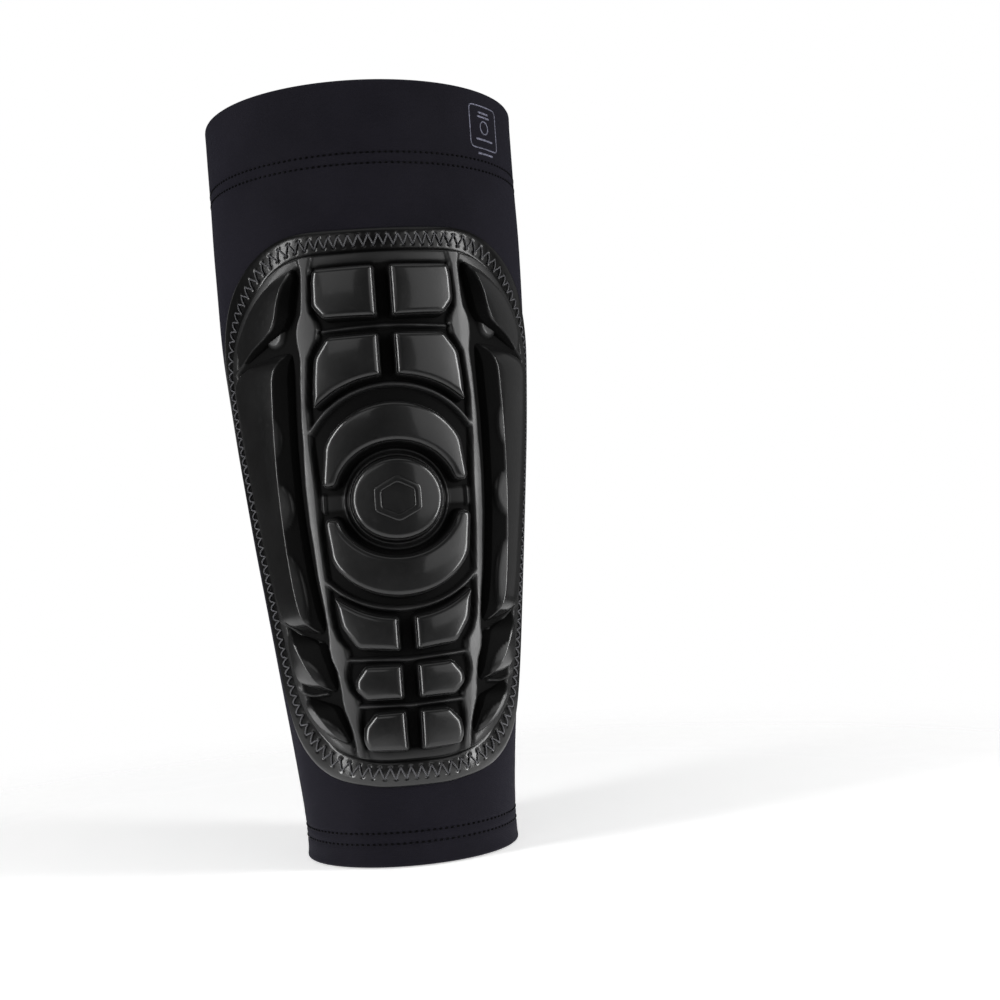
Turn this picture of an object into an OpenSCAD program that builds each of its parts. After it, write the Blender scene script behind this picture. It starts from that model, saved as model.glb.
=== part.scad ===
// Pull-on shin guard: a tapered compression sleeve with a moulded foam pad sewn on its front.
// The guard stands upright on its ankle hem. +Z points up the leg, -Y is the shin side.
// Places on the sleeve are given as [u, z, h]: u is the distance round the sleeve from the
// middle of the shin, z the height, h the height over the sleeve's outer face.

/* [Sleeve] */
// Height of the guard, from the ankle edge to the knee edge
guard_h = 276; // [270:1:290]
// Radius of the sleeve at the ankle
ankle_r = 38.5; // [37:0.5:41]
// Radius of the sleeve round the widest part of the calf
calf_r = 59.5; // [58:0.5:62]
// Thickness of the knitted fabric
fabric_t = 1; // [0.8:0.1:1.2]
// Depth of the folded hem at the knee
top_hem = 32; // [28:1:34]
// Depth of the folded hem at the ankle
bottom_hem = 13; // [10:1:16]
// Angle of each side seam, measured round from the middle of the shin
seam_angle = 105; // [98:1:112]
// Thickness of the elastic tape folded into the knee hem
elastic_t = 0.8; // [0.5:0.1:1]

/* [Pad] */
// Thickness of the base sheet, whose border is sewn to the sleeve
sheet_t = 1; // [0.6:0.1:1.2]
// Thickness of the foam web plate that carries the blocks
web_t = 1.3; // [1:0.1:1.6]
// Height of the foam blocks over the sleeve
block_h = 8.5; // [7:0.5:10]
// Height of the outer edge of a wing block over the sleeve
wing_edge_h = 5; // [4:0.5:6]
// How far the wall of a block leans in from its foot to its top
draft = 1.5; // [0.8:0.1:1.6]
// Width of the flex groove between the shin part and a wing
groove_w = 1.2; // [1:0.1:1.6]
// Radius of the round block in the middle
disc_r = 15.6; // [14:0.1:16.5]

/* [Stitching] */
// Thickness of the sewing thread
thread_d = 0.5; // [0.3:0.1:0.6]
// Length of one full zigzag
zigzag_pitch = 3.4; // [3:0.2:6]
// Height of the zigzag across the border
zigzag_h = 4; // [3:0.2:4.4]
// Distance between the two stitch rows of a hem
hem_row_gap = 3.8; // [3:0.2:4.6]

/* [Hidden] */

fabric_colour = "#1c1a26";
pad_colour = "#151518";
thread_colour = "#202028";
print_colour = "#8a88a0";

// How full the leg is at each height: 0 is the ankle radius and 1 the calf radius
LEG_SHAPE = [[0, 0], [15, 0.03], [40, 0.15], [70, 0.34], [110, 0.57],
             [150, 0.79], [190, 0.95], [230, 1], [250, 0.98], [276, 0.95]];
// The flex groove between the shin part and a wing: height, distance round the sleeve
GROOVE = [[0, 18], [30, 18.1], [45, 18.8], [52, 19.8], [60, 21.8], [68, 22.8], [76, 24],
          [82, 25.6], [90, 26.6], [100, 28], [115, 29.7], [135, 31], [150, 31],
          [172, 30.6], [180, 30.8], [187, 31], [192, 29.4], [198, 28.6], [209, 27.6], [276, 27.4]];
// Outer edge of the sewn border on a wing: height, distance round the sleeve
BORDER = [[28.5, 20], [30, 26], [33, 34.5], [38, 42], [44, 48.5], [51, 53], [60, 56], [72, 59],
          [86, 61.5], [100, 64], [120, 68], [146, 72.5], [160, 74.5], [172, 76], [181, 76],
          [189.5, 74.5], [197.5, 70.5], [204.5, 65], [210.5, 58.5], [215.5, 51.5], [219.5, 43.5],
          [222, 35]];
// Outer edge of the web plate on a wing: height, distance round the sleeve
LIP = [[39, 20.5], [42, 27], [46.5, 32.3], [53, 38], [60, 41.4], [70, 44.6], [87, 48.4],
       [100, 51], [112, 53.5], [132, 57.4], [147, 60], [162, 62.2], [173, 63], [180, 62.4],
       [186, 60.4], [191.5, 57.3], [196, 54], [200.5, 50], [206, 44.5], [210, 39.5], [213, 33]];
// Line of the zigzag stitch along the border of a wing: distance round the sleeve, height
STITCH = [[21, 34.8], [31, 39.2], [37.5, 44.5], [42.5, 50.5], [46, 58], [49, 66], [52.5, 81],
          [55.5, 97], [59, 113], [62, 129], [64.5, 145], [67, 161], [68, 169], [68, 177],
          [66.5, 185], [63, 192.5], [58.5, 199], [53, 205], [47, 210.2], [40, 214.8], [32, 217.5]];
border_low = 27.5;      // lowest and highest edge of the border on the shin part
border_high = 223;
lip_low = 37;           // lowest and highest edge of the web plate on the shin part
lip_high = 214;  
stitch_low = 32.8;      // heights of the zigzag along those two edges
stitch_high = 218.2;

// Feet of the five rows of blocks on the right of the shin: distance round, lowest, highest
ROWS = [
    [[1.5, 189.5, 209.5], [10, 189.3, 209.5], [20, 189, 209.5], [25, 194, 209.3]],
    [[1.5, 168, 185.5], [7, 167.5, 185.5], [13, 165, 185.5], [19, 161.5, 185],
     [23, 158, 180.5], [26, 156, 176]],
    [[1.5, 73.8, 87.5], [7, 74, 88.2], [12, 74.5, 90.2], [16.5, 77, 93.2],
     [20, 82.5, 95.8], [22.5, 89, 97.5]],
    [[1.5, 56.3, 70.8], [8, 56.3, 71], [13.5, 56.3, 71], [16, 58, 68.5], [18.5, 60.5, 66]],
    [[1.5, 39.3, 54.3], [7, 39.5, 54.3], [11.5, 39.8, 54.3], [14.5, 40.2, 51.4],
     [17, 41, 48]]
];
// Feet of the four blocks of a wing: height, inner edge, outer edge
FIN = [[178.5, 56, 60.6], [182, 48, 60.4], [185.5, 40.5, 59], [188, 35, 57.6], [192, 31.4, 55.2],
       [198, 30, 50.6], [203, 29.2, 45.4], [207, 28.8, 40.4], [210, 28.8, 35]];
LONG = [[82, 27.4, 31], [84.5, 27, 38], [88, 27.4, 45.5], [92, 28.2, 47.5],
        [100, 29.4, 49.4], [115, 31.2, 52.4], [130, 32.2, 55.2], [150, 32.6, 58.6],
        [165, 32.4, 60.8], [173, 32.2, 61.2], [177, 32.2, 55], [180.5, 32.2, 43]];
UPPER_CHUNK = [[61.5, 24.4, 28], [63.5, 24, 34], [66, 24, 40.6], [70, 24.4, 42.4],
               [76, 25.6, 43.8], [79, 27, 44.4], [81.5, 36, 44.9], [84.5, 41.6, 45.4]];
LOWER_CHUNK = [[43.5, 20, 25], [46, 19.8, 29], [50, 20.8, 33.4], [54, 22.2, 36.4],
               [57.5, 23.6, 38.2], [59.5, 32, 38.8], [61, 36, 39.2]];

disc_z = 127;           // height of the round block's middle
crescent_rise = 9.5;    // how far a crescent's outer arc is centred from the disc's middle
crescent_r = 26;        // radius of a crescent's outer arc
crescent_inner_r = 18.4;
crescent_end = 4.5;     // half the gap between the ends of the two crescents
emblem_r = 8;           // corner radius of the plain six-sided emblem
emblem_ring = 2.4;      // width of its band
emblem_t = 0.8;
print_u = 48;           // middle of the printed frame, distance round the sleeve
print_z = 264;
print_w = 15;
print_t = 0.2;
seam_w = 5;             // width of the thread cover along a side seam
full_wing_w = 11;       // width from which a wing block has its full height

ply_gap = 0.15;         // air left between plies that are glued or sewn together
panel_gap = 0.3;        // air left between a panel and a hem
sheet_top = ply_gap + sheet_t;
web_low = sheet_top + ply_gap;
web_top = web_low + web_t;
foot_h = web_top + ply_gap;
front_y = -(ankle_r + (calf_r - ankle_r) * lookup(bottom_hem, LEG_SHAPE));
top_hem_z = guard_h - top_hem;
top_r = leg_r(top_hem_z);
bottom_r = leg_r(bottom_hem);
wing_strips = 4;        // strips across a wing block
band_z = [bottom_hem + panel_gap, 27, 40, 55, 70, 90, 110, 130, 150, 170, 190, 210, 230,
          top_hem_z - panel_gap];

// Radius of the sleeve's outer face at a height
function leg_r(z) = ankle_r + (calf_r - ankle_r) * lookup(z, LEG_SHAPE);
// The shin line is straight and upright, so the middle of each section lies further back
// where the leg is fuller
function leg_y(z) = leg_r(z) + front_y;
// A point given on the sleeve, as a point in space
function place(p) =
    let (r = leg_r(p.y), a = p.x / r * 180 / PI)
    [(r + p.z) * sin(a), leg_y(p.y) - (r + p.z) * cos(a), p.y];
function mix(a, b, f) = a + (b - a) * f;
function column(table, k) = [for (row = table) [row[0], row[k]]];
function groove_u(z) = lookup(z, GROOVE);
function seam_u(z) = seam_angle * PI / 180 * leg_r(z);

// A closed slab on the sleeve. low(i, j) and high(i, j) give its two faces as [u, z, h]
module slab(low, high, ni, nj) {
    n = (ni + 1) * (nj + 1);
    function k(i, j) = i * (nj + 1) + j;
    points = [
        for (i = [0:ni]) for (j = [0:nj]) place(low(i, j)),
        for (i = [0:ni]) for (j = [0:nj]) place(high(i, j))
    ];
    faces = [
        for (i = [0:ni - 1]) for (j = [0:nj - 1])
            [n + k(i, j), n + k(i, j + 1), n + k(i + 1, j + 1), n + k(i + 1, j)],
        for (i = [0:ni - 1]) for (j = [0:nj - 1])
            [k(i, j), k(i + 1, j), k(i + 1, j + 1), k(i, j + 1)],
        for (j = [0:nj - 1]) [n + k(0, j + 1), n + k(0, j), k(0, j), k(0, j + 1)],
        for (j = [0:nj - 1]) [n + k(ni, j), n + k(ni, j + 1), k(ni, j + 1), k(ni, j)],
        for (i = [0:ni - 1]) [n + k(i, 0), n + k(i + 1, 0), k(i + 1, 0), k(i, 0)],
        for (i = [0:ni - 1]) [n + k(i + 1, nj), n + k(i, nj), k(i, nj), k(i + 1, nj)]
    ];
    polyhedron(points, faces, convexity = 6);
}

// A ply between two lines that run up the leg: from_u(z) and to_u(z), at the heights zs
module ply(zs, from_u, to_u, low_h, high_h, ni) {
    function at(i, j, h) = [mix(from_u(zs[j]), to_u(zs[j]), i / ni), zs[j], h];
    slab(function (i, j) at(i, j, low_h), function (i, j) at(i, j, high_h), ni, len(zs) - 1);
}

// A block whose foot is a table of [u, lowest z, highest z]; its walls lean in by draft
module row_block(foot, top_h) {
    n = len(foot) - 1;
    first = foot[0][0];
    last = foot[n][0];
    lowest = column(foot, 1);
    highest = column(foot, 2);
    function at(i, j, d, h) =
        let (u = mix(first + d, last - d, (foot[i][0] - first) / (last - first)),
             z0 = lookup(u, lowest) + d,
             z1 = lookup(u, highest) - d)
        [u, mix(z0, z1, j / 2), h];
    slab(function (i, j) at(i, j, 0, foot_h), function (i, j) at(i, j, draft, top_h), n, 2);
}

// A wing block whose foot is a table of [z, inner u, outer u]. It is lower at its outer edge
// and where it is narrow
module wing_block(foot) {
    n = len(foot) - 1;
    first = foot[0][0];
    last = foot[n][0];
    inner = column(foot, 1);
    outer = column(foot, 2);
    function at(i, j, d) =
        let (z = mix(first + d, last - d, (foot[j][0] - first) / (last - first)),
             u0 = lookup(z, inner) + d,
             u1 = lookup(z, outer) - d,
             rise = mix(block_h, wing_edge_h, i / wing_strips) - foot_h,
             full = min(1, (foot[j][2] - foot[j][1]) / full_wing_w))
        [mix(u0, u1, i / wing_strips), z, foot_h + (d > 0 ? rise * full : 0)];
    slab(function (i, j) at(i, j, 0), function (i, j) at(i, j, draft), wing_strips, n);
}

// Zigzag thread along a line of [u, z] points, one stitch each way in every pitch
module zigzag(line) {
    steps = [for (i = [0:len(line) - 2]) norm(line[i + 1] - line[i])];
    sums = [for (i = 0, s = 0; i < len(line); s = s + (i < len(steps) ? steps[i] : 0), i = i + 1) s];
    total = sums[len(line) - 1];
    along_u = [for (i = [0:len(line) - 1]) [sums[i], line[i].x]];
    along_z = [for (i = [0:len(line) - 1]) [sums[i], line[i].y]];
    count = floor(total / zigzag_pitch) * 2;
    function point(s) = [lookup(s, along_u), lookup(s, along_z)];
    function heading(s) =
        let (d = point(min(s + 2, total)) - point(max(s - 2, 0)))
        d / norm(d);
    function at(i, j, h) =
        let (s = total * j / count,
             way = heading(s),
             side = (j % 2 == 0 ? 1 : -1) * zigzag_h / 2 - (i - 0.5) * 2 * thread_d,
             p = point(s) + side * [-way.y, way.x])
        [p.x, p.y, h];
    thread_low = sheet_top + ply_gap;
    slab(function (i, j) at(i, j, thread_low), function (i, j) at(i, j, thread_low + thread_d),
         1, count);
}

module hem_rows(r, middle_y, z) {
    for (row_z = [z, z + hem_row_gap])
        translate([0, middle_y, row_z])
            rotate_extrude($fn = 96)
                translate([r + thread_d / 2 + ply_gap, 0])
                    circle(d = thread_d, $fn = 16);
}

// A hem folded down on the inside, hollow between its two walls
module folded_hem(r, depth, hollow_t, fold_up) {
    rotate_extrude($fn = 96) {
        inner = r - 2 * fabric_t - hollow_t;
        translate([r - fabric_t, 0])
            square([fabric_t, depth]);
        translate([inner, 0])
            square([fabric_t, depth]);
        translate([inner, fold_up ? depth - fabric_t : 0])
            square([r - inner, fabric_t]);
    }
}

module shin_panel() {
    color(fabric_colour)
        ply(band_z,
            function (z) -groove_u(z) + groove_w / 2,
            function (z) groove_u(z) - groove_w / 2,
            -fabric_t, 0, 10);
}

module calf_panel() {
    turn = 360 * PI / 180;
    color(fabric_colour)
        ply(band_z,
            function (z) seam_u(z) + panel_gap,
            function (z) turn * leg_r(z) - seam_u(z) - panel_gap,
            -fabric_t, 0, 18);
}

module top_cuff() {
    color(fabric_colour)
        translate([0, leg_y(top_hem_z), top_hem_z])
            folded_hem(top_r, top_hem, elastic_t + 2 * ply_gap, true);
}

module bottom_cuff() {
    color(fabric_colour)
        folded_hem(bottom_r, bottom_hem, 2 * ply_gap, false);
}

module top_elastic() {
    outer = top_r - fabric_t - ply_gap;
    color("#3a3a40")
        translate([0, leg_y(top_hem_z), top_hem_z + 4])
            difference() {
                cylinder(h = top_hem - 4 - fabric_t - ply_gap, r = outer, $fn = 96);
                translate([0, 0, -1])
                    cylinder(h = top_hem, r = outer - elastic_t, $fn = 96);
            }
}

module top_hem_stitch() {
    color(thread_colour)
        hem_rows(top_r, leg_y(top_hem_z), top_hem_z + 2);
}

module bottom_hem_stitch() {
    color(thread_colour)
        hem_rows(bottom_r, 0, bottom_hem - 5);
}

module seam_thread() {
    color(thread_colour)
        ply(band_z,
            function (z) seam_u(z) + panel_gap,
            function (z) seam_u(z) + panel_gap + seam_w,
            ply_gap, ply_gap + thread_d, 2);
}

module base_sheet() {
    color(pad_colour)
        ply([border_low, 38, 46, 54, 62, 70, 78, 86, 94, 104, 116, 128, 140, 152, 164, 176,
             184, 190, 196, 204, 213, border_high],
            function (z) -groove_u(z) + groove_w / 2,
            function (z) groove_u(z) - groove_w / 2,
            ply_gap, sheet_top, 10);
}

module web_plate() {
    color(pad_colour)
        ply([lip_low, 46, 54, 62, 70, 78, 86, 94, 104, 116, 128, 140, 152, 164, 176, 184,
             190, 196, 204, lip_high],
            function (z) -groove_u(z) + groove_w / 2,
            function (z) groove_u(z) - groove_w / 2,
            web_low, web_top, 10);
}

module border_stitch(z) {
    color(thread_colour)
        zigzag([[-groove_u(z) + 2, z], [0, z], [groove_u(z) - 2, z]]);
}

// side is 1 for the crescent over the disc and -1 for the one under it
module crescent(side) {
    foot = [for (a = [-80:10:80])
        let (u = crescent_r * sin(a),
             far = crescent_rise + crescent_r * cos(a),
             bow = sqrt(max(0, crescent_inner_r * crescent_inner_r - u * u)),
             near = max(crescent_end, bow))
        side > 0 ? [u, disc_z + near, disc_z + far] : [u, disc_z - far, disc_z - near]];
    color(pad_colour)
        row_block(foot, block_h);
}

module centre_disc() {
    foot = [for (a = [-80:10:80]) [disc_r * sin(a), disc_z - disc_r * cos(a), disc_z + disc_r * cos(a)]];
    color(pad_colour)
        row_block(foot, block_h);
}

module disc_emblem() {
    color(pad_colour)
        translate([0, front_y - block_h - ply_gap, disc_z])
            rotate([90, 0, 0])
                linear_extrude(emblem_t)
                    difference() {
                        circle(r = emblem_r, $fn = 6);
                        circle(r = emblem_r - emblem_ring, $fn = 6);
                    }
}

// A printed frame with two bars under it, on the outside of the knee hem
module care_print() {
    angle = print_u / top_r * 180 / PI;
    color(print_colour)
        translate([0, leg_y(top_hem_z), print_z])
            intersection() {
                difference() {
                    cylinder(h = 40, r = top_r + ply_gap + print_t, center = true, $fn = 96);
                    cylinder(h = 42, r = top_r + ply_gap, center = true, $fn = 96);
                }
                rotate([0, 0, angle])
                    translate([0, -top_r / 2, 0])
                        rotate([90, 0, 0])
                            linear_extrude(top_r)
                                print_marks();
            }
}

module print_marks() {
    difference() {
        translate([-print_w / 2, -5])
            square([print_w, 12]);
        translate([-print_w / 2 + 0.8, -4.2])
            square([print_w - 1.6, 10.4]);
    }
    for (bar = [[9, -7.2], [6, -9.6]])
        translate([-bar[0] / 2, bar[1]])
            square([bar[0], 1.2]);
}

module side_panel() {
    color(fabric_colour)
        ply(band_z,
            function (z) groove_u(z) + groove_w / 2,
            function (z) seam_u(z) - panel_gap,
            -fabric_t, 0, 10);
}

module wing_sheet() {
    color(pad_colour)
        ply([for (p = BORDER) p[0]],
            function (z) groove_u(z) + groove_w / 2,
            function (z) lookup(z, BORDER),
            ply_gap, sheet_top, 6);
}

module wing_web() {
    color(pad_colour)
        ply([for (p = LIP) p[0]],
            function (z) groove_u(z) + groove_w / 2,
            function (z) lookup(z, LIP),
            web_low, web_top, 6);
}

module wing_stitch() {
    color(thread_colour)
        zigzag(STITCH);
}

module wing_foam(foot) {
    color(pad_colour)
        wing_block(foot);
}

module mirrored() {
    mirror([1, 0, 0])
        children();
}

shin_panel();
calf_panel();
top_cuff();
bottom_cuff();
top_elastic();
top_hem_stitch();
bottom_hem_stitch();
mirrored() seam_thread();  // left_seam_thread
seam_thread();  // right_seam_thread
base_sheet();
web_plate();
border_stitch(stitch_high);  // top_border_stitch
border_stitch(stitch_low);  // bottom_border_stitch
crescent(1);  // upper_crescent
crescent(-1);  // lower_crescent
centre_disc();
disc_emblem();
care_print();
for (i = [1:5]) {
    mirrored() color(pad_colour) row_block(ROWS[i - 1], block_h);
    color(pad_colour) row_block(ROWS[i - 1], block_h);
}
mirrored() side_panel();  // left_side_panel
mirrored() wing_sheet();  // left_base_sheet
mirrored() wing_web();  // left_web_plate
mirrored() wing_stitch();  // left_border_stitch
mirrored() wing_foam(FIN);  // left_fin_block
mirrored() wing_foam(LONG);  // left_long_block
mirrored() wing_foam(UPPER_CHUNK);  // left_upper_chunk
mirrored() wing_foam(LOWER_CHUNK);  // left_lower_chunk
side_panel();  // right_side_panel
wing_sheet();  // right_base_sheet
wing_web();  // right_web_plate
wing_stitch();  // right_border_stitch
wing_foam(FIN);  // right_fin_block
wing_foam(LONG);  // right_long_block
wing_foam(UPPER_CHUNK);  // right_upper_chunk
wing_foam(LOWER_CHUNK);  // right_lower_chunk
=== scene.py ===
# %% [markdown]
# # A pull-on shin guard
# The guard is a tapered sleeve of stretch knit with a moulded foam pad sewn on its front.
# CAD gives every part its place. Here each part gets its real surface: cloth that is folded
# into hems, a film-covered foam web, bevelled blocks, thread, and a printed mark.
# All new shapes are surfaces worked out with numpy in millimetres, and made metres at the end.

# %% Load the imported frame
import bpy
import numpy as np
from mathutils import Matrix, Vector


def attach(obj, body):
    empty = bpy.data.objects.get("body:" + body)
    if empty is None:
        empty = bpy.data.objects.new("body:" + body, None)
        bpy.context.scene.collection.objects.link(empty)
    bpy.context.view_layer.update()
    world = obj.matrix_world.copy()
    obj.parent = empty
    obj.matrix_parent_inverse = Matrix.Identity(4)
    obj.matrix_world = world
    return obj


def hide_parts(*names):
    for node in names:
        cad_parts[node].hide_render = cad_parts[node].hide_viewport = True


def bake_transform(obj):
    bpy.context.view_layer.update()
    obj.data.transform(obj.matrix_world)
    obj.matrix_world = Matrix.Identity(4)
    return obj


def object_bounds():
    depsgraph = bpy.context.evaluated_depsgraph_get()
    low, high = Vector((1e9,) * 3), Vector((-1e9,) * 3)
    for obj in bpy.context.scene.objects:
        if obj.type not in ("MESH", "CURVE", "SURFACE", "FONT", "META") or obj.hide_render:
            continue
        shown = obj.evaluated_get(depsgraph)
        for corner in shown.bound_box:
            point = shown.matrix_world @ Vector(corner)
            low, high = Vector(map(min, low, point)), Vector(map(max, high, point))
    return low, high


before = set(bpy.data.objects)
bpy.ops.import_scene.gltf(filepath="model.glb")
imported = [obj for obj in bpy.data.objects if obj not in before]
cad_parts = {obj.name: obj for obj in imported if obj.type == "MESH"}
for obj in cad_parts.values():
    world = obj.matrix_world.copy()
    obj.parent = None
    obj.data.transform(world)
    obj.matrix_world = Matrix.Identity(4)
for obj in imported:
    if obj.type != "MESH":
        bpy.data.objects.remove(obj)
cad_box = [list(corner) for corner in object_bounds()]
low, high = np.array(cad_box)
print("CAD box in mm:", np.round((high - low) * 1000, 1))

# %% [markdown]
# ## The leg shape
# The sleeve is a leg-shaped tube: round at every height, wider at the calf, with its front
# line straight and upright, as the guard stands. A place on it is (u, z, h): u is the distance
# round from the middle of the shin, z the height, and h the height over the cloth. Everything
# sewn on the sleeve is drawn in these flat measures and then laid round the leg, which is how
# a pattern cutter thinks of it.

# %% Places on the leg
MM = 0.001
LEG_HEIGHTS = [0, 15, 40, 70, 110, 150, 190, 230, 250, 276]
LEG_SHARES = [0, 0.03, 0.15, 0.34, 0.57, 0.79, 0.95, 1, 0.98, 0.95]
ANKLE_R, CALF_R = 38.5, 59.5
ANKLE_HEM, KNEE_HEM, GUARD_H = 13, 244, 276
SEAM = np.radians(105)
HINGE_X = 25


def leg_radius(z):
    """Radius of the cloth's outer face: the table's steps averaged over 16 mm of height, so
    that they turn smoothly, and constant along both hems."""
    near = np.clip(np.asarray(z, float)[..., None] + [-8, -4, 0, 4, 8], ANKLE_HEM, KNEE_HEM)
    return ANKLE_R + (CALF_R - ANKLE_R) * np.interp(near, LEG_HEIGHTS, LEG_SHARES).mean(-1)


FRONT_Y = -float(leg_radius(0))


def at_angle(a, z, h):
    """A point at angle a round the leg: the circle of radius r + h about (0, r + FRONT_Y)."""
    r = leg_radius(z)
    return MM * np.stack([(r + h) * np.sin(a), r + FRONT_Y - (r + h) * np.cos(a), z + 0 * a], -1)


def on_leg(u, z, h):
    """The same for a distance u round the leg: the angle is u / r."""
    return at_angle(u / leg_radius(z), z, h)


def split_u(z):
    """The distance round at which the shin part ends, where x is HINGE_X."""
    r = leg_radius(z)
    return r * np.arcsin(HINGE_X / r)


print("radius at ankle, mid, calf:", leg_radius(np.array([0, 130, 240])).round(2))

# %% [markdown]
# ## Turning surfaces into solids
# Nearly every part here is a closed outline carried along a path: cloth, film, thread and
# ridged pads alike. So one helper makes them all. It takes the points as a whole array and
# joins them into quads, closes both ends with strips across, and turns the faces outwards by
# the sign of the volume. Where a smooth surface is cut in two, both pieces get the normals of
# the uncut surface, so that no line shows.

# %% Grids to meshes
def make_mesh(name, points, faces, normals=None, uv=None, unshaded_share=1.0):
    """A mesh of quads. normals are one for each face corner, uv one pair for each point, and the last
    argument is each point's share of plain film: 0 where the film is painted black as painted shade, in
    grooves and on shaded walls, and 1 where it is not."""
    mesh = bpy.data.meshes.new(name)
    mesh.vertices.add(len(points))
    mesh.vertices.foreach_set("co", points.astype(np.float32).ravel())
    mesh.loops.add(faces.size)
    mesh.loops.foreach_set("vertex_index", faces.astype(np.int32).ravel())
    mesh.polygons.add(len(faces))
    mesh.polygons.foreach_set("loop_start", np.arange(len(faces), dtype=np.int32) * 4)
    mesh.update(calc_edges=True)
    mesh.shade_smooth()
    if uv is not None:
        layer = mesh.uv_layers.new(name="UVMap")
        layer.data.foreach_set("uv", uv[faces.ravel()].astype(np.float32).ravel())
    unshaded_part = mesh.attributes.new("unshaded_share", "FLOAT", "POINT")
    unshaded_part.data.foreach_set("value", (np.ravel(unshaded_share) * np.ones(len(points))).astype(np.float32))
    if normals is not None:
        mesh.normals_split_custom_set(normals.astype(np.float32))
    piece = bpy.data.objects.new(name, mesh)
    bpy.context.scene.collection.objects.link(piece)
    return piece


def volume(points, faces):
    """Six times the volume inside: the sum of a . (b x c) over the triangles."""
    a, b, c, d = (points[faces[:, k]] for k in range(4))
    return float((a * np.cross(b, c)).sum() + (a * np.cross(c, d)).sum())


def face_normals(points, faces):
    """Half the cross product of a quad's diagonals, made one long."""
    a, b, c, d = (points[faces[:, k]] for k in range(4))
    n = np.cross(c - a, d - b)
    return n / np.maximum(np.linalg.norm(n, axis=-1, keepdims=True), 1e-15)


def swept_solid(name, rings, normals=None, uv=None, closed=False, unshaded_share=1.0):
    """Rings of points, (solids, rings, points round, 3), joined to the next ring. The ends
    are closed by strips from point k to the point that faces it, or joined if closed."""
    rings = rings.reshape((-1,) + rings.shape[-3:])
    solids, count, round_, _ = rings.shape
    first = np.arange(solids)[:, None, None] * count * round_
    i = np.arange(count if closed else count - 1)[:, None]
    j = np.arange(round_)
    i2, j2 = (i + 1) % count, (j + 1) % round_
    sides = np.stack([i * round_ + j, i2 * round_ + j, i2 * round_ + j2, i * round_ + j2], -1)
    faces = (first[..., None] + sides).reshape(-1, 4)
    points = rings.reshape(-1, 3)
    k = np.arange(round_ // 2 - 1)
    strip = np.stack([k, k + 1, round_ - 2 - k, round_ - 1 - k], -1)
    ends = np.concatenate([strip, strip[:, ::-1] + (count - 1) * round_])
    ends = (first + ends).reshape(-1, 4) if not closed else np.zeros((0, 4), int)
    every = np.concatenate([faces, ends])
    outwards = volume(points, every) > 0
    if not outwards:
        every = every[:, ::-1]
    loops = None
    if normals is not None:
        smooth = normals.reshape(-1, 3)[every[: len(faces)].ravel()]
        turned = smooth.reshape(-1, 4, 3).mean(1) * face_normals(points, every[: len(faces)])
        wrong = turned.sum() < 0
        flat = np.repeat(face_normals(points, every[len(faces):]), 4, axis=0)
        loops = np.concatenate([-smooth if wrong else smooth, flat])
    return make_mesh(name, points, every, loops, None if uv is None else uv.reshape(-1, 2), unshaded_share)


def ply(name, top, under, normals=None, unshaded_part=None):
    """A sheet with an underside: each row runs over the top and back below, where the normals are the
    top's turned over and the film is all painted black as shade."""
    def there_and_back(over, below):
        return np.concatenate([over, below[:, ::-1]], 1)

    return swept_solid(name, there_and_back(top, under),
                       None if normals is None else there_and_back(normals, -normals),
                       unshaded_share=1.0 if unshaded_part is None else there_and_back(unshaded_part, 0 * unshaded_part))


def slopes_normal(shape, s, t, step_s, step_t):
    """The normal of shape(s, t): the cross product of its two slopes, by small steps."""
    n = np.cross(shape(s + step_s, t) - shape(s - step_s, t),
                 shape(s, t + step_t) - shape(s, t - step_t))
    return n / np.maximum(np.linalg.norm(n, axis=-1, keepdims=True), 1e-15)


def smooth_line(corners, step):
    """A curve through the points, a Catmull-Rom spline, with points about step apart."""
    p = np.array(corners, float)
    p = np.concatenate([[2 * p[0] - p[1]], p, [2 * p[-1] - p[-2]]])
    a, b, c, d = p[:-3], p[1:-2], p[2:-1], p[3:]
    f = np.linspace(0, 1, 12, endpoint=False)[None, :, None]
    a, b, c, d = (x[:, None] for x in (a, b, c, d))
    curve = 0.5 * (2 * b + (c - a) * f + (2 * a - 5 * b + 4 * c - d) * f**2
                   + (3 * b - a - 3 * c + d) * f**3)
    curve = np.concatenate([curve.reshape(-1, p.shape[1]), p[-2:-1]])
    return evenly(curve, step)


def distance_along(line):
    """How far along the line each point lies: the sum of the lengths before it."""
    return np.concatenate([[0], np.cumsum(np.linalg.norm(np.diff(line[:, :2], axis=0), axis=1))])


def evenly(line, step):
    """The line again, with points at equal distances of about step."""
    along = distance_along(line)
    at = np.linspace(0, along[-1], int(round(along[-1] / step)) + 1)
    return np.stack([np.interp(at, along, line[:, k]) for k in range(line.shape[1])], -1)


# %% [markdown]
# ## Joining pieces to the moving frame
# The pad is stiff along its flex grooves, so the two wings turn out a little when a calf stretches the
# sleeve. Cloth and film run across the grooves without a break. Here the pieces over a groove and the
# cloth behind a seam only have their place baked in, and the others ride on the shin's body or a wing's.

# %% Rides and materials
SIDES = {"left": -1, "right": 1}


def over_groove(piece, side):
    """The film and cloth over the groove between the shin part and a wing: only their place is baked in.
    """
    side + "_wing"
    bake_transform(piece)


def over_calf(piece):
    """The cloth behind the side seam."""
    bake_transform(piece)


def finished(piece, material, nodes=()):
    """Gives the piece its material and hides the CAD nodes that it stands for."""
    piece.data.materials.append(material)
    if nodes:
        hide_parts(*nodes)


def foam_block(piece, node, body="shin_and_sleeve"):
    """A block of foam under film, fixed to one body, that stands for one CAD node."""
    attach(piece, body)
    finished(piece, block_film, [node])


# %% [markdown]
# ## Materials
# Each finish is made of nodes: noise and waves that follow the object or the cloth's own
# flat measures. A small class lets the sums be written as sums. Numbers that hold all over a
# piece are set straight on the shader.

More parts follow.
